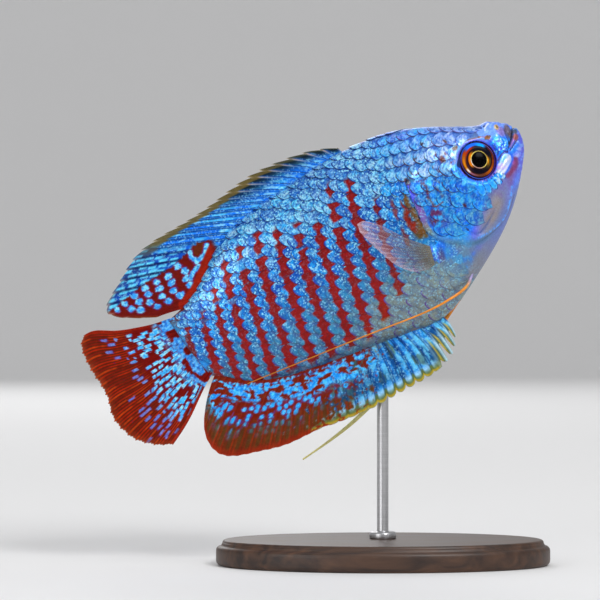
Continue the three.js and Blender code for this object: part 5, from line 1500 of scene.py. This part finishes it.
def caudal_colour(a, b, B, fr, u, h):
    N = 17
    R = a * N
    f = R - np.floor(R)
    n1, n2 = fbm(u * 0.8, h * 0.8, 401), fbm(u * 2.6, h * 2.6, 403)
    L = b * np.interp(a, [0, 0.5, 1], [15.5, 17.5, 14.0])
    col = np.zeros(a.shape + (3,)) + rgb(112, 6, 0)
    outer = smooth(b + 0.10 * (n1 - 0.5), 0.46, 0.66)
    fine = 0.5 + 0.5 * np.cos(2 * np.pi * R * 3 + 2.0 * (noise(R, b * 3, 431) - 0.5))
    col = mix(col, rgb(84, 32, 6), outer * (0.35 + 0.6 * (1 - fine)) * 0.9)
    col = mix(col, rgb(186, 36, 0), outer * fine ** 2 * (0.3 + 0.7 * smooth(noise(R * 2.2, b * 3, 433), 0.35, 0.6)) * 0.9)
    col = mix(col, rgb(200, 70, 8), outer * (1 - smooth(np.abs(fr), 0.04, 0.14)) * 0.65 * smooth(n1, 0.35, 0.55))
    # base: azure, scaled, with red blotches
    base = 1 - smooth(L + 1.1 * (n1 - 0.5), 4.0, 5.6)
    bc = np.zeros(a.shape + (3,)) + rgb(46, 138, 232)
    bc = mix(bc, rgb(116, 206, 255), smooth(n2, 0.50, 0.64) * 0.7)
    bc = mix(bc, rgb(60, 60, 130), smooth(-n2, -0.42, -0.3) * 0.5)
    bc = mix(bc, rgb(116, 8, 0), smooth(fbm(u * 0.8 + 2, h * 0.62, 405, 2), 0.50, 0.56))
    col = mix(col, bc, base)
    # arcs of small blocks along the rays, fewer, thinner and more violet outwards
    lane = R * 1.25 + 0.25 * (n1 - 0.5)
    row, rnd, ox, oy = cells(lane, L / 1.22 + 0.5 * (np.floor(lane) % 2) + 0.5 * (n1 - 0.5), 421, 0.27)
    low = smooth(a, 0.35, 0.8)
    chance = np.interp(L - 2.0 * low, [0, 4.0, 6.0, 8.5, 10.5, 12.5, 13.5], [0.95, 0.92, 0.84, 0.68, 0.5, 0.25, 0.0])
    slim = np.interp(L, [4, 7, 10, 13], [0.44, 0.36, 0.26, 0.18])
    size = np.maximum(np.abs(ox) / slim, np.abs(oy) / (0.40 + 0.04 * low)) + 0.55 * (n2 - 0.5)
    mark = (1 - smooth(size, 0.84, 1.02)) * (rnd < chance)
    halo = (1 - smooth(size, 1.1, 1.45)) * (rnd < chance)
    inside = smooth(L + 1.0 * (n2 - 0.5), 3.6, 4.2) * smooth(a, 0.03, 0.07) * (1 - smooth(a, 0.95, 0.985))
    col = mix(col, rgb(96, 22, 96), halo * inside * 0.65)
    blue = mix(np.zeros(a.shape + (3,)) + rgb(56, 178, 255), rgb(150, 226, 255), smooth(fbm(u * 3.0, h * 3.0, 423), 0.48, 0.6))
    blue = mix(blue, rgb(104, 108, 206), smooth(L, 8.0, 12.0) * 0.8)
    col = mix(col, blue, mark * inside * (1 - 0.15 * smooth(L, 8, 12)))
    # red edges above and below, pale tips
    col = mix(col, rgb(150, 30, 6), np.maximum(1 - smooth(a, 0.01, 0.04), smooth(a, 0.965, 0.985)) * smooth(L, 4, 6) * 0.8)
    col = mix(col, rgb(150, 60, 24), smooth(B, 0.93, 0.98) * 0.4)
    col = mix(col, rgb(196, 160, 140), smooth(B, 0.988, 1.0) * 0.7)
    return col * (0.88 + 0.24 * n2[..., None])


def make_caudal(mat):
    at = coons(C_ROOT, C_MARGIN, C_TOP, C_LOW)
    N = 17

    def cut(a):
        f = np.clip(a * N - np.floor(a * N + 1e-9), 0, 1)
        dip = np.abs(np.sin(np.pi * f))
        return 1 - 0.013 * dip ** 0.8 - 0.008 * np.sin(3 * np.pi * f) ** 2 - 0.01 * hash01(np.floor(a * N), 0 * a, 441)

    def thick(a, b, fr):
        ray = bell(fr, 0.14)
        split = bell(np.abs(fr) - 0.2, 0.08) * smooth(b, 0.45, 0.7)
        return 0.06 + 0.62 * (1 - smooth(b, 0.0, 0.28)) ** 2 + ray * (0.15 - 0.08 * b) + split * 0.05

    def lateral(a, b):
        return 0.35 * np.sin(a * 9 + 0.6) * b ** 1.5

    return fin_mesh("fin_caudal_membrane", at, N, 14, 92, cut, thick, lateral, caudal_colour, "fin_red", ["fin_caudal"], mat)


# ---- pectorals
PEC_TOP = Outline([(20.7, -5.5), (22.3, -3.7), (24.1, -1.25), (25.8, 1.3), (27.6, 3.1)])
PEC_LOW = Outline([(21.5, -8.35), (22.8, -8.4), (24.3, -7.9), (25.2, -7.35)])
PEC_ROOT = Outline([(20.7, -5.5), (21.1, -6.9), (21.5, -8.35)])
PEC_MARGIN = Outline([(27.6, 3.1), (28.6, 3.15), (28.95, 2.3), (28.8, 1.0), (28.3, -0.9), (27.6, -3.2), (26.8, -5.2), (25.2, -7.35)])


def pectoral_colour(a, b, B, fr, u, h):
    n1, n2 = fbm(u * 1.2, h * 1.2, 501), fbm(u * 4, h * 4, 503)
    col = np.zeros(a.shape + (3,)) + rgb(150, 132, 150)
    col = mix(col, rgb(120, 122, 96), (1 - smooth(b, 0.1, 0.55)) * 0.8)
    col = mix(col, rgb(196, 160, 178), smooth(b, 0.55, 0.95) * 0.8)
    ray = 1 - smooth(np.abs(fr), 0.08, 0.22)
    col = mix(col, rgb(92, 78, 70), ray * (1 - smooth(b, 0.3, 0.8)) * 0.7)
    col = mix(col, rgb(206, 178, 190), ray * smooth(b, 0.4, 0.9) * 0.6)
    clear = 0.13 + 0.16 * ray + 0.18 * smooth(B, 0.75, 1.0) + 0.4 * (1 - smooth(b, 0.0, 0.2)) + 0.18 * (1 - smooth(b, 0.2, 0.5)) + 0.3 * smooth(B, 0.97, 1.0)
    clear = clear + 0.2 * smooth(a, 0.9, 1.0) + 0.15 * (1 - smooth(a, 0.0, 0.06))
    return col, np.clip(clear, 0, 1)


def make_pectoral(sign, mat):
    at = coons(PEC_ROOT, PEC_MARGIN, PEC_TOP, PEC_LOW)
    N = 11

    def cut(a):
        f = np.clip(a * N - np.floor(a * N + 1e-9), 0, 1)
        return 1 - 0.012 * np.sin(np.pi * f)

    def thick(a, b, fr):
        return 0.035 + 0.28 * (1 - smooth(b, 0.0, 0.16)) + bell(fr, 0.14) * (0.08 - 0.04 * b)

    def lateral(a, b):
        reach = np.interp(a, [0, 0.2, 0.6, 1], [10.5, 11.5, 9.0, 4.0]) * b
        rootw = 5.15 - 0.55 * a
        return sign * (rootw + 0.30 * reach + 0.35 * np.sin(np.pi * a) * b + 0.25 * b * b)

    side = "right" if sign < 0 else "left"
    return fin_mesh("fin_pectoral_%s_membrane" % side, at, N, 9, 56, cut, thick, lateral, pectoral_colour, "fin_clear",
                    ["fin_pectoral_%s" % side], mat)


# ------------------------------------------------------------------ feelers
def make_tube(name, path, radius, colour, slot, nodes, mat, rings=260, around=14):
    k = np.asarray(path, float)
    t = np.r_[0, np.cumsum(np.linalg.norm(np.diff(k, axis=0), axis=1))]
    f = [spline(t, k[:, i]) for i in range(3)]
    q = np.linspace(0, 1, rings)
    p = np.stack([g(q * t[-1]) for g in f], -1)
    d = np.gradient(p, axis=0)
    d /= np.linalg.norm(d, axis=1, keepdims=True)
    side = np.cross(d, [0, 0, 1.0])
    side /= np.linalg.norm(side, axis=1, keepdims=True)
    up = np.cross(side, d)
    ang = 2 * np.pi * np.arange(around) / around
    r = radius(q)[:, None, None]
    ring = p[:, None] + r * (np.cos(ang)[None, :, None] * side[:, None] + np.sin(ang)[None, :, None] * up[:, None])
    pts = np.vstack([ring.reshape(-1, 3), p[:1], p[-1:]])
    faces = grid_faces(rings, around, 0, close=True)
    j = np.arange(around)
    n = (j + 1) % around
    c0 = np.stack([np.full(around, rings * around), j, n], -1)
    last = (rings - 1) * around
    c1 = np.stack([np.full(around, rings * around + 1), last + n, last + j], -1)
    w = world(*pts.T)
    v = w[faces[:, 0]], w[faces[:, 1]], w[faces[:, 2]]
    centre = np.repeat(world(*p.T), around, 0)[faces[:, 0]]
    if np.median(np.sum(np.cross(v[1] - v[0], v[2] - v[0]) * (v[0] - centre), -1)) < 0:
        faces, c0, c1 = faces[:, ::-1], c0[:, ::-1], c1[:, ::-1]
    qq = np.r_[np.repeat(q, around), 0, 1]
    col = colour(qq, np.r_[np.tile(ang, rings), 0, 0])
    o = build_object(name, w, [faces, c0, c1], col, material=mat)
    return piece(o, slot, *nodes)


# ------------------------------------------------------------------ eyes
def make_eye(sign, mat):
    n_r, n_a = 96, 128
    # angle from the pole: out to a little past the widest part
    th = np.concatenate([np.linspace(0, 1.0, 70), np.linspace(1.03, 1.75, 26)]) * 1.0
    th = th / 1.75 * math.radians(125)
    ang = 2 * np.pi * np.arange(n_a) / n_a
    T, A = np.meshgrid(th, ang, indexing="ij")
    ru, rh, deep, cy = 3.09, 3.28, 1.92, 2.55
    # a touch flatter over the iris, with the lens standing out
    flat = np.sin(T)
    z = np.cos(T)
    u = EYE_AT_U + ru * flat * np.cos(A)
    h = EYE_AT_H + rh * flat * np.sin(A)
    rho = np.sqrt(((u - EYE_AT_U) / EYE_RU) ** 2 + ((h - EYE_AT_H) / EYE_RH) ** 2)
    w = 1 - np.clip(rho, 0, 1)
    cu, ch = EYE_AT_U + (PUPIL_U - EYE_AT_U) * w, EYE_AT_H + (PUPIL_H - EYE_AT_H) * w
    R = np.hypot(u - cu, (h - ch) * (1 - 0.10 * np.clip(rho, 0, 1)))      # mm from the pupil's centre
    relief_mm = 0.05 * bell(R - 1.30, 0.1) - 0.05 * bell(R - 1.7, 0.25) + 0.05 * bell(R - 2.2, 0.25) + 0.02 * (1 - smooth(R, 1.0, 1.14))
    relief_mm = relief_mm - 0.06 * bell(R - 2.6, 0.07)
    y = cy + deep * z + relief_mm * (T < 1.3) + 0.19 * (u - EYE_AT_U)
    # image angle of each point, so that marks sit as in the picture on both sides
    du, dh = u - EYE_AT_U, h - EYE_AT_H
    W = np.degrees(np.arctan2(-SP * du + CP * dh, -CP * du - SP * dh)) % 360

    def arc(centre, half, soft=18):
        d = np.abs((W - centre + 180) % 360 - 180)
        return 1 - smooth(d, half - soft, half + soft)
    g = noise(np.cos(A) * 9 + 20, np.sin(A) * 9 + 20 + R * 1.5, 601)
    streak = noise(A * 24, R * 1.2, 603)
    col = np.zeros(R.shape + (3,)) + rgb(30, 14, 22)
    orange = smooth(R, 2.0, 2.15) * (1 - smooth(R, 2.36, 2.5)) * (1 - 0.35 * arc(268, 30, 24))
    col = mix(col, rgb(112, 44, 10), orange * (0.45 + 0.4 * g))
    col = mix(col, rgb(150, 60, 6), orange * arc(350, 56) * smooth(R, 1.95, 2.15) * (0.5 + 0.5 * streak))
    col = mix(col, rgb(190, 96, 16), orange * arc(318, 20, 20) * smooth(R, 1.98, 2.15) * (0.6 + 0.4 * streak))
    col = mix(col, rgb(120, 74, 56), bell(R - 2.24, 0.12) * arc(272, 24) * 0.9)
    col = mix(col, rgb(104, 84, 24), smooth(R, 1.45, 1.55) * (1 - smooth(R, 1.8, 1.95)) * arc(340, 44) * 0.85)
    col = mix(col, rgb(196, 46, 10), smooth(R, 1.75, 1.95) * (1 - smooth(R, 2.35, 2.5)) * arc(138, 34) * (0.7 + 0.3 * streak))
    col = mix(col, rgb(176, 92, 10), smooth(R, 1.9, 2.05) * (1 - smooth(R, 2.4, 2.55)) * arc(176, 20) * 0.95)
    col = mix(col, rgb(244, 146, 16), bell(R - 2.25, 0.16) * arc(206, 26) * 0.95)
    col = mix(col, rgb(240, 132, 8), smooth(R, 1.30, 1.38) * (1 - smooth(R, 1.52, 1.72)) * arc(182, 52) * 0.97)
    col = mix(col, rgb(244, 150, 14), smooth(R, 1.32, 1.38) * (1 - smooth(R, 1.48, 1.62)) * arc(2, 24) * 0.95)
    col = mix(col, rgb(70, 34, 52), bell(R - 1.88, 0.10) * arc(200, 56) * 0.8)
    col = mix(col, rgb(10, 12, 28), smooth(R, 1.42, 1.52) * (1 - smooth(R, 2.2, 2.4)) * arc(62, 46) * 0.97)
    col = mix(col, rgb(10, 8, 24), smooth(R, 1.48, 1.58) * (1 - smooth(R, 1.9, 2.08)) * arc(282, 44) * 0.9)
    col = mix(col, rgb(26, 106, 236), smooth(R, 2.06, 2.18) * (1 - smooth(R, 2.5, 2.64)) * arc(104, 38, 12))
    col = mix(col, rgb(10, 160, 246), smooth(R, 1.98, 2.12) * (1 - smooth(R, 2.4, 2.5)) * arc(80, 15, 8))
    col = mix(col, rgb(150, 120, 214), bell(R - 2.58, 0.05) * arc(50, 30) * 0.8)
    col = mix(col, rgb(36, 96, 220), bell(R - 2.56, 0.09) * arc(150, 30) * 0.9)
    col = mix(col, rgb(92, 70, 160), bell(R - 2.60, 0.09) * arc(192, 26) * 0.9)
    col = mix(col, rgb(70, 116, 246), bell(R - 2.62, 0.06) * arc(268, 46) * 0.95)
    col = mix(col, rgb(84, 60, 190), bell(R - 2.60, 0.08) * arc(335, 40) * 0.7)
    # painted glints: a pink and a white reflection on the iris' lower rear
    col = mix(col, rgb(190, 116, 166), bell(R - 2.28, 0.09) * arc(246, 16) * 0.85)
    col = mix(col, rgb(255, 250, 250), bell(R - 2.26, 0.12) * arc(228, 10, 6) * 0.95)
    ringcol = mix(np.zeros(R.shape + (3,)) + rgb(255, 232, 110), rgb(255, 244, 232), arc(208, 34, 18) * 0.9)
    ringcol = mix(ringcol, rgb(196, 146, 150), arc(268, 34, 20) * 0.85)
    ringcol = mix(ringcol, rgb(176, 160, 70), arc(66, 40, 20) * 0.6)
    col = mix(col, ringcol, (1 - smooth(np.abs(R - 1.275), 0.03, 0.085)) * (0.75 + 0.25 * g))
    col = mix(col, rgb(2, 2, 3), 1 - smooth(R, 1.17, 1.23))
    col = mix(col, rgb(46, 8, 34), smooth(R, 2.64, 2.74) * (1 - smooth(R, 2.95, 3.05)))
    col = mix(col, rgb(86, 50, 150), smooth(R, 2.98, 3.06))
    pts = np.stack([u, h, sign * y], -1)
    pts = pts[1:].reshape(-1, 3)
    c = col[1:].reshape(-1, 3)
    pole = np.array([[EYE_AT_U, EYE_AT_H, sign * (cy + deep)]])
    back_pt = np.array([[EYE_AT_U, EYE_AT_H, sign * (cy - deep * 0.75)]])
    pts = np.vstack([pts, pole, back_pt])
    c = np.vstack([c, [rgb(2, 2, 3)], [rgb(60, 20, 50)]])
    rows = n_r - 1
    f = grid_faces(rows, n_a, 0, close=True)
    j = np.arange(n_a)
    k = (j + 1) % n_a
    c0 = np.stack([np.full(n_a, rows * n_a), j, k], -1)
    c1 = np.stack([np.full(n_a, rows * n_a + 1), (rows - 1) * n_a + k, (rows - 1) * n_a + j], -1)
    w = world(*pts.T)
    mid = world(EYE_AT_U, EYE_AT_H, sign * cy)
    v = w[f[:, 0]], w[f[:, 1]], w[f[:, 2]]
    if np.median(np.sum(np.cross(v[1] - v[0], v[2] - v[0]) * (v[0] - mid), -1)) < 0:
        f, c0, c1 = f[:, ::-1], c0[:, ::-1], c1[:, ::-1]

    def uv_of(faces):
        x = np.zeros(faces.shape + (2,))
        body = faces < rows * n_a
        rr = np.where(body, (faces // n_a + 1) / n_r, np.where(faces == rows * n_a, 0, 1.02)) * 0.48
        aa = 2 * np.pi * (faces % n_a) / n_a
        x[..., 0] = 0.5 + rr * np.cos(aa) * np.where(faces == rows * n_a + 1, 1, 1)
        x[..., 1] = 0.5 + rr * np.sin(aa)
        return x
    uv = [uv_of(f), uv_of(c0), None]
    # the back cap lies on a small disc of its own in the map's corner
    cap = np.zeros(c1.shape + (2,))
    isc = c1 == rows * n_a + 1
    aa = 2 * np.pi * (c1 % n_a) / n_a
    cap[..., 0] = 0.06 + np.where(isc, 0, 0.05) * np.cos(aa)
    cap[..., 1] = 0.06 + np.where(isc, 0, 0.05) * np.sin(aa)
    uvall = np.vstack([uv[0].reshape(-1, 2), uv[1].reshape(-1, 2), cap.reshape(-1, 2)])
    side = "right" if sign < 0 else "left"
    o = build_object("eyeball_" + side, w, [f, c0, c1], c, uv=uvall, material=mat)
    return piece(o, "eye", "eye_" + side)


# ------------------------------------------------------------------ stand
def lathe(name, profile, segments, squash, centre, slot, nodes, mat, rows_per=1):
    prof = np.asarray(profile, float)
    n = len(prof)
    ang = 2 * np.pi * np.arange(segments) / segments
    x = prof[:, 0][:, None] * np.cos(ang)
    y = prof[:, 0][:, None] * np.sin(ang) * squash
    z = prof[:, 1][:, None] + 0 * x
    pts = np.stack([x + centre[0], y + centre[1], z], -1).reshape(-1, 3)
    pts = np.vstack([pts, [[centre[0], centre[1], prof[0, 1]]], [[centre[0], centre[1], prof[-1, 1]]]])
    f = grid_faces(n, segments, 0, close=True, flip=True)
    j = np.arange(segments)
    k = (j + 1) % segments
    c0 = np.stack([np.full(segments, n * segments), k, j], -1)
    c1 = np.stack([np.full(segments, n * segments + 1), (n - 1) * segments + j, (n - 1) * segments + k], -1)
    o = build_object(name, pts / 1000.0, [f, c0, c1], material=mat)
    return piece(o, slot, *nodes)


def wood_material():
    m = bpy.data.materials.new("dark_wood")
    m.use_nodes = True
    nt = m.node_tree
    b = nt.nodes["Principled BSDF"]
    co = nt.nodes.new("ShaderNodeTexCoord")
    mp = nt.nodes.new("ShaderNodeMapping")
    mp.inputs["Scale"].default_value = (14, 150, 90)
    nt.links.new(co.outputs["Object"], mp.inputs["Vector"])
    n = nt.nodes.new("ShaderNodeTexNoise")
    n.inputs["Scale"].default_value = 6.0
    n.inputs["Detail"].default_value = 6.0
    n.inputs["Distortion"].default_value = 0.6
    nt.links.new(mp.outputs[0], n.inputs["Vector"])
    r = nt.nodes.new("ShaderNodeValToRGB")
    r.color_ramp.elements[0].position = 0.32
    r.color_ramp.elements[0].color = (0.018, 0.008, 0.005, 1)
    r.color_ramp.elements[1].position = 0.72
    r.color_ramp.elements[1].color = (0.085, 0.038, 0.019, 1)
    nt.links.new(n.outputs[0], r.inputs[0])
    nt.links.new(r.outputs[0], b.inputs["Base Color"])
    rr = nt.nodes.new("ShaderNodeMapRange")
    rr.inputs["To Min"].default_value = 0.34
    rr.inputs["To Max"].default_value = 0.52
    nt.links.new(n.outputs[0], rr.inputs["Value"])
    nt.links.new(rr.outputs[0], b.inputs["Roughness"])
    bp = nt.nodes.new("ShaderNodeBump")
    bp.inputs["Distance"].default_value = 0.00004
    nt.links.new(n.outputs[0], bp.inputs["Height"])
    nt.links.new(bp.outputs[0], b.inputs["Normal"])
    return m


def steel_material():
    m = bpy.data.materials.new("brushed_steel")
    m.use_nodes = True
    nt = m.node_tree
    b = nt.nodes["Principled BSDF"]
    b.inputs["Metallic"].default_value = 1.0
    co = nt.nodes.new("ShaderNodeTexCoord")
    mp = nt.nodes.new("ShaderNodeMapping")
    mp.inputs["Scale"].default_value = (300, 300, 6000)
    nt.links.new(co.outputs["Object"], mp.inputs["Vector"])
    n = nt.nodes.new("ShaderNodeTexNoise")
    n.inputs["Scale"].default_value = 1.0
    n.inputs["Detail"].default_value = 4.0
    nt.links.new(mp.outputs[0], n.inputs["Vector"])
    r = nt.nodes.new("ShaderNodeValToRGB")
    r.color_ramp.elements[0].color = (0.36, 0.36, 0.37, 1)
    r.color_ramp.elements[1].color = (0.58, 0.58, 0.59, 1)
    nt.links.new(n.outputs[0], r.inputs[0])
    nt.links.new(r.outputs[0], b.inputs["Base Color"])
    rr = nt.nodes.new("ShaderNodeMapRange")
    rr.inputs["To Min"].default_value = 0.24
    rr.inputs["To Max"].default_value = 0.42
    nt.links.new(n.outputs[0], rr.inputs["Value"])
    nt.links.new(rr.outputs[0], b.inputs["Roughness"])
    bp = nt.nodes.new("ShaderNodeBump")
    bp.inputs["Distance"].default_value = 0.00001
    nt.links.new(n.outputs[0], bp.inputs["Height"])
    nt.links.new(bp.outputs[0], b.inputs["Normal"])
    return m


def rounded(profile, radius_steps):
    """Rounds the corners of a lathe profile. radius_steps: {index: (radius, steps)}"""
    out = []
    for i, p in enumerate(profile):
        if i not in radius_steps:
            out.append(p)
            continue
        r, steps = radius_steps[i]
        p = np.array(p, float)
        a, b = np.array(profile[i - 1], float) - p, np.array(profile[i + 1], float) - p
        la, lb = np.linalg.norm(a), np.linalg.norm(b)
        a, b = p + a / la * min(r, la / 2), p + b / lb * min(r, lb / 2)
        for t in np.linspace(0, 1, steps + 1):
            out.append(tuple((1 - t) ** 2 * a + 2 * t * (1 - t) * p + t * t * b))
    return out


# ------------------------------------------------------------------ build
skin = piece(make_skin(), "skin", "head", "lower_jaw", "gill_cover_right", "gill_cover_left", "trunk", "tail_root")
lattice = make_lattice()
counts = []
for sign, seed in ((-1, 0), (1, 100)):
    _, n = make_scales(sign, seed, lattice)
    counts.append(n)
print("scales", counts)

fin_mat = node_material("fin_blue_skin", rough=(0.34, 0.46), metal=0.3, spec=0.12, coat=0.03, coat_rough=0.15, grain=0.14, grain_scale=4200, bump=0.02, bump_scale=4200, sparkle=1.0)
tail_mat = node_material("fin_red_skin", rough=(0.36, 0.48), metal=0.25, spec=0.10, coat=0.0, coat_rough=0.15, grain=0.14, grain_scale=4200, bump=0.02, bump_scale=4200, sparkle=1.0)
clear_mat = node_material("fin_clear_skin", rough=(0.3, 0.45), coat=0.2, grain=0.1, grain_scale=4200, bump=0.015, bump_scale=4200, alpha=True)
thread_mat = node_material("feeler_skin", rough=(0.3, 0.45), coat=0.3, grain=0.14, grain_scale=3000, bump=0.02, bump_scale=3000)
eye_mat = node_material("eye_wet", rough=(0.16, 0.26), coat=0.02, coat_rough=0.03, spec=0.03, grain=0.06, grain_scale=6000, bump=0.004, bump_scale=5000)

make_dorsal(fin_mat)
make_anal(fin_mat)
make_caudal(tail_mat)
make_pectoral(-1, clear_mat)
make_pectoral(1, clear_mat)


def feeler_colour(tail):
    def at(q, ang):
        n = noise(q * 60, ang, 701)
        col = np.zeros(q.shape + (3,)) + rgb(228, 134, 4)
        col = mix(col, rgb(150, 140, 190), 1 - smooth(q, 0.02, 0.1))
        col = mix(col, rgb(*tail), smooth(q, 0.35, 0.7))
        return col * (0.9 + 0.2 * n[..., None])
    return at


FEELER_RIGHT = [(16.9, -12.3, -0.9), (18.3, -13.5, -1.7), (21.2, -14.1, -3.25), (25.3, -14.0, -4.2), (31, -13.15, -4.8), (38, -11.95, -5.1), (47, -10.55, -5.0), (55.7, -9.2, -4.4)]
FEELER_LEFT = [(16.9, -12.3, 0.9), (18.3, -13.6, 1.6), (21.2, -15.2, 3.0), (25.3, -17.2, 3.9), (31, -19.6, 5.2), (38, -21.5, 6.3), (46, -23.3, 7.0), (54.7, -24.1, 7.2)]
make_tube("feeler_right_thread", FEELER_RIGHT, lambda q: 0.25 - 0.11 * smooth(q, 0, 0.35) - 0.06 * q, feeler_colour((184, 108, 0)), "feeler", ["feeler_right"], thread_mat)
make_tube("feeler_left_thread", FEELER_LEFT, lambda q: 0.36 - 0.02 * smooth(q, 0, 0.4) - 0.20 * smooth(q, 0.7, 1.0), feeler_colour((246, 236, 150)), "feeler", ["feeler_left"], thread_mat)
make_eye(-1, eye_mat)
make_eye(1, eye_mat)

# stand
R, r = BASE["length"] / 2, ROD["r"]
profile = [(0.01, 0.0), (R - 0.5, 0.0), (R, 0.5), (R, BASE["height"] - 1.4), (R - 0.35, BASE["height"] - 1.05), (R - 0.9, BASE["height"] - 0.9),
           (R - 1.1, BASE["height"]), (R - 3, BASE["height"]), (R * 0.5, BASE["height"]), (0.01, BASE["height"])]
profile = rounded(profile, {1: (0.3, 3), 2: (0.3, 3), 3: (0.5, 5), 5: (0.5, 4), 6: (0.5, 6)})
lathe("stand_base_wood", profile, 160, BASE["width"] / BASE["length"], (0, 0), "stand_wood", ["stand_base"], wood_material())
z = BASE["height"] + 0.02
c, ch = ROD["collar"], ROD["collar_h"]
profile = [(0.01, ROD["foot"]), (r, ROD["foot"]), (r, z), (c, z), (c, z + ch), (r, z + ch), (r, 20.0), (r, ROD["top"]), (0.01, ROD["top"])]
profile = rounded(profile, {3: (0.15, 3), 4: (0.5, 5), 5: (0.15, 3), 7: (0.2, 3)})
lathe("stand_rod_steel", profile, 64, 1.0, (0, ROD["y"]), "stand_steel", ["stand_rod"], steel_material())


# ------------------------------------------------------------------ studio
def studio():
    n_a, prof = 128, []
    flat, wall, rise = 1.25, 2.3, 2.4
    prof.append((0.0005, 0.0))
    for x in (0.2, 0.5, 0.9, flat):
        prof.append((x, 0.0))
    for k in range(1, 25):
        t = k / 24 * math.pi / 2
        prof.append((flat + (wall - flat) * math.sin(t), (wall - flat) * (1 - math.cos(t))))
    prof.append((wall, rise))
    prof = np.array(prof)
    ang = 2 * np.pi * np.arange(n_a) / n_a
    x, y = prof[:, 0][:, None] * np.cos(ang), prof[:, 0][:, None] * np.sin(ang)
    zz = prof[:, 1][:, None] + 0 * x
    pts = np.stack([x, y, zz], -1).reshape(-1, 3)
    f = grid_faces(len(prof), n_a, 0, close=True)
    v0, v1, v2 = pts[f[:, 0]], pts[f[:, 1]], pts[f[:, 2]]
    if np.median(np.cross(v1 - v0, v2 - v0)[: n_a * 3, 2]) < 0:
        f = f[:, ::-1]
    m = bpy.data.materials.new("studio_paper")
    m.use_nodes = True
    nt = m.node_tree
    b = nt.nodes["Principled BSDF"]
    b.inputs["Roughness"].default_value = 0.9
    b.inputs["Specular IOR Level"].default_value = 0.1
    nz = nt.nodes.new("ShaderNodeTexNoise")
    nz.inputs["Scale"].default_value = 3.0
    rp = nt.nodes.new("ShaderNodeValToRGB")
    rp.color_ramp.elements[0].color = (0.78, 0.78, 0.785, 1)
    rp.color_ramp.elements[1].color = (0.82, 0.82, 0.825, 1)
    nt.links.new(nz.outputs[0], rp.inputs[0])
    nt.links.new(rp.outputs[0], b.inputs["Base Color"])
    o = build_object("studio_bowl", pts, [f], material=m)


studio()


def area(name, loc, target, size, power, colour=(1, 1, 1), size_y=None):
    l = bpy.data.lights.new(name, "AREA")
    l.shape = "RECTANGLE"
    l.size, l.size_y = size, size_y or size
    l.energy = power
    l.color = colour
    o = bpy.data.objects.new(name, l)
    o.location = loc
    o.rotation_mode = "QUATERNION"
    o.rotation_quaternion = (Vector(target) - Vector(loc)).to_track_quat("-Z", "Y")
    bpy.context.scene.collection.objects.link(o)
    return o


FOCUS = (-0.012, 0.0, 0.042)
area("key", (0.45, -0.80, 0.70), FOCUS, 0.40, 6.6)
area("top", (0.05, -0.1, 1.0), FOCUS, 0.7, 1.2)
area("fill", (-0.7, -0.8, 0.25), FOCUS, 0.6, 2.8)
area("rim", (-0.2, 0.9, 0.5), FOCUS, 0.5, 2.0)

scene = bpy.context.scene
w = bpy.data.worlds.new("studio_air")
scene.world = w
w.use_nodes = True
w.node_tree.nodes["Background"].inputs[0].default_value = (1, 1, 1, 1)
w.node_tree.nodes["Background"].inputs[1].default_value = 0.6
scene.view_settings.view_transform = "Standard"
scene.view_settings.look = "None"
scene.view_settings.exposure = 0.0

cam = bpy.data.cameras.new("camera")
cam.sensor_width = 36.0
cam.lens = 36.0 * 500.0 / 93.36
cam.clip_start, cam.clip_end = 0.01, 20
cam_o = bpy.data.objects.new("camera", cam)
cam_o.location = (-0.012915, -0.5, 0.04123)
cam_o.rotation_euler = (math.pi / 2, 0, 0)
scene.collection.objects.link(cam_o)
scene.camera = cam_o
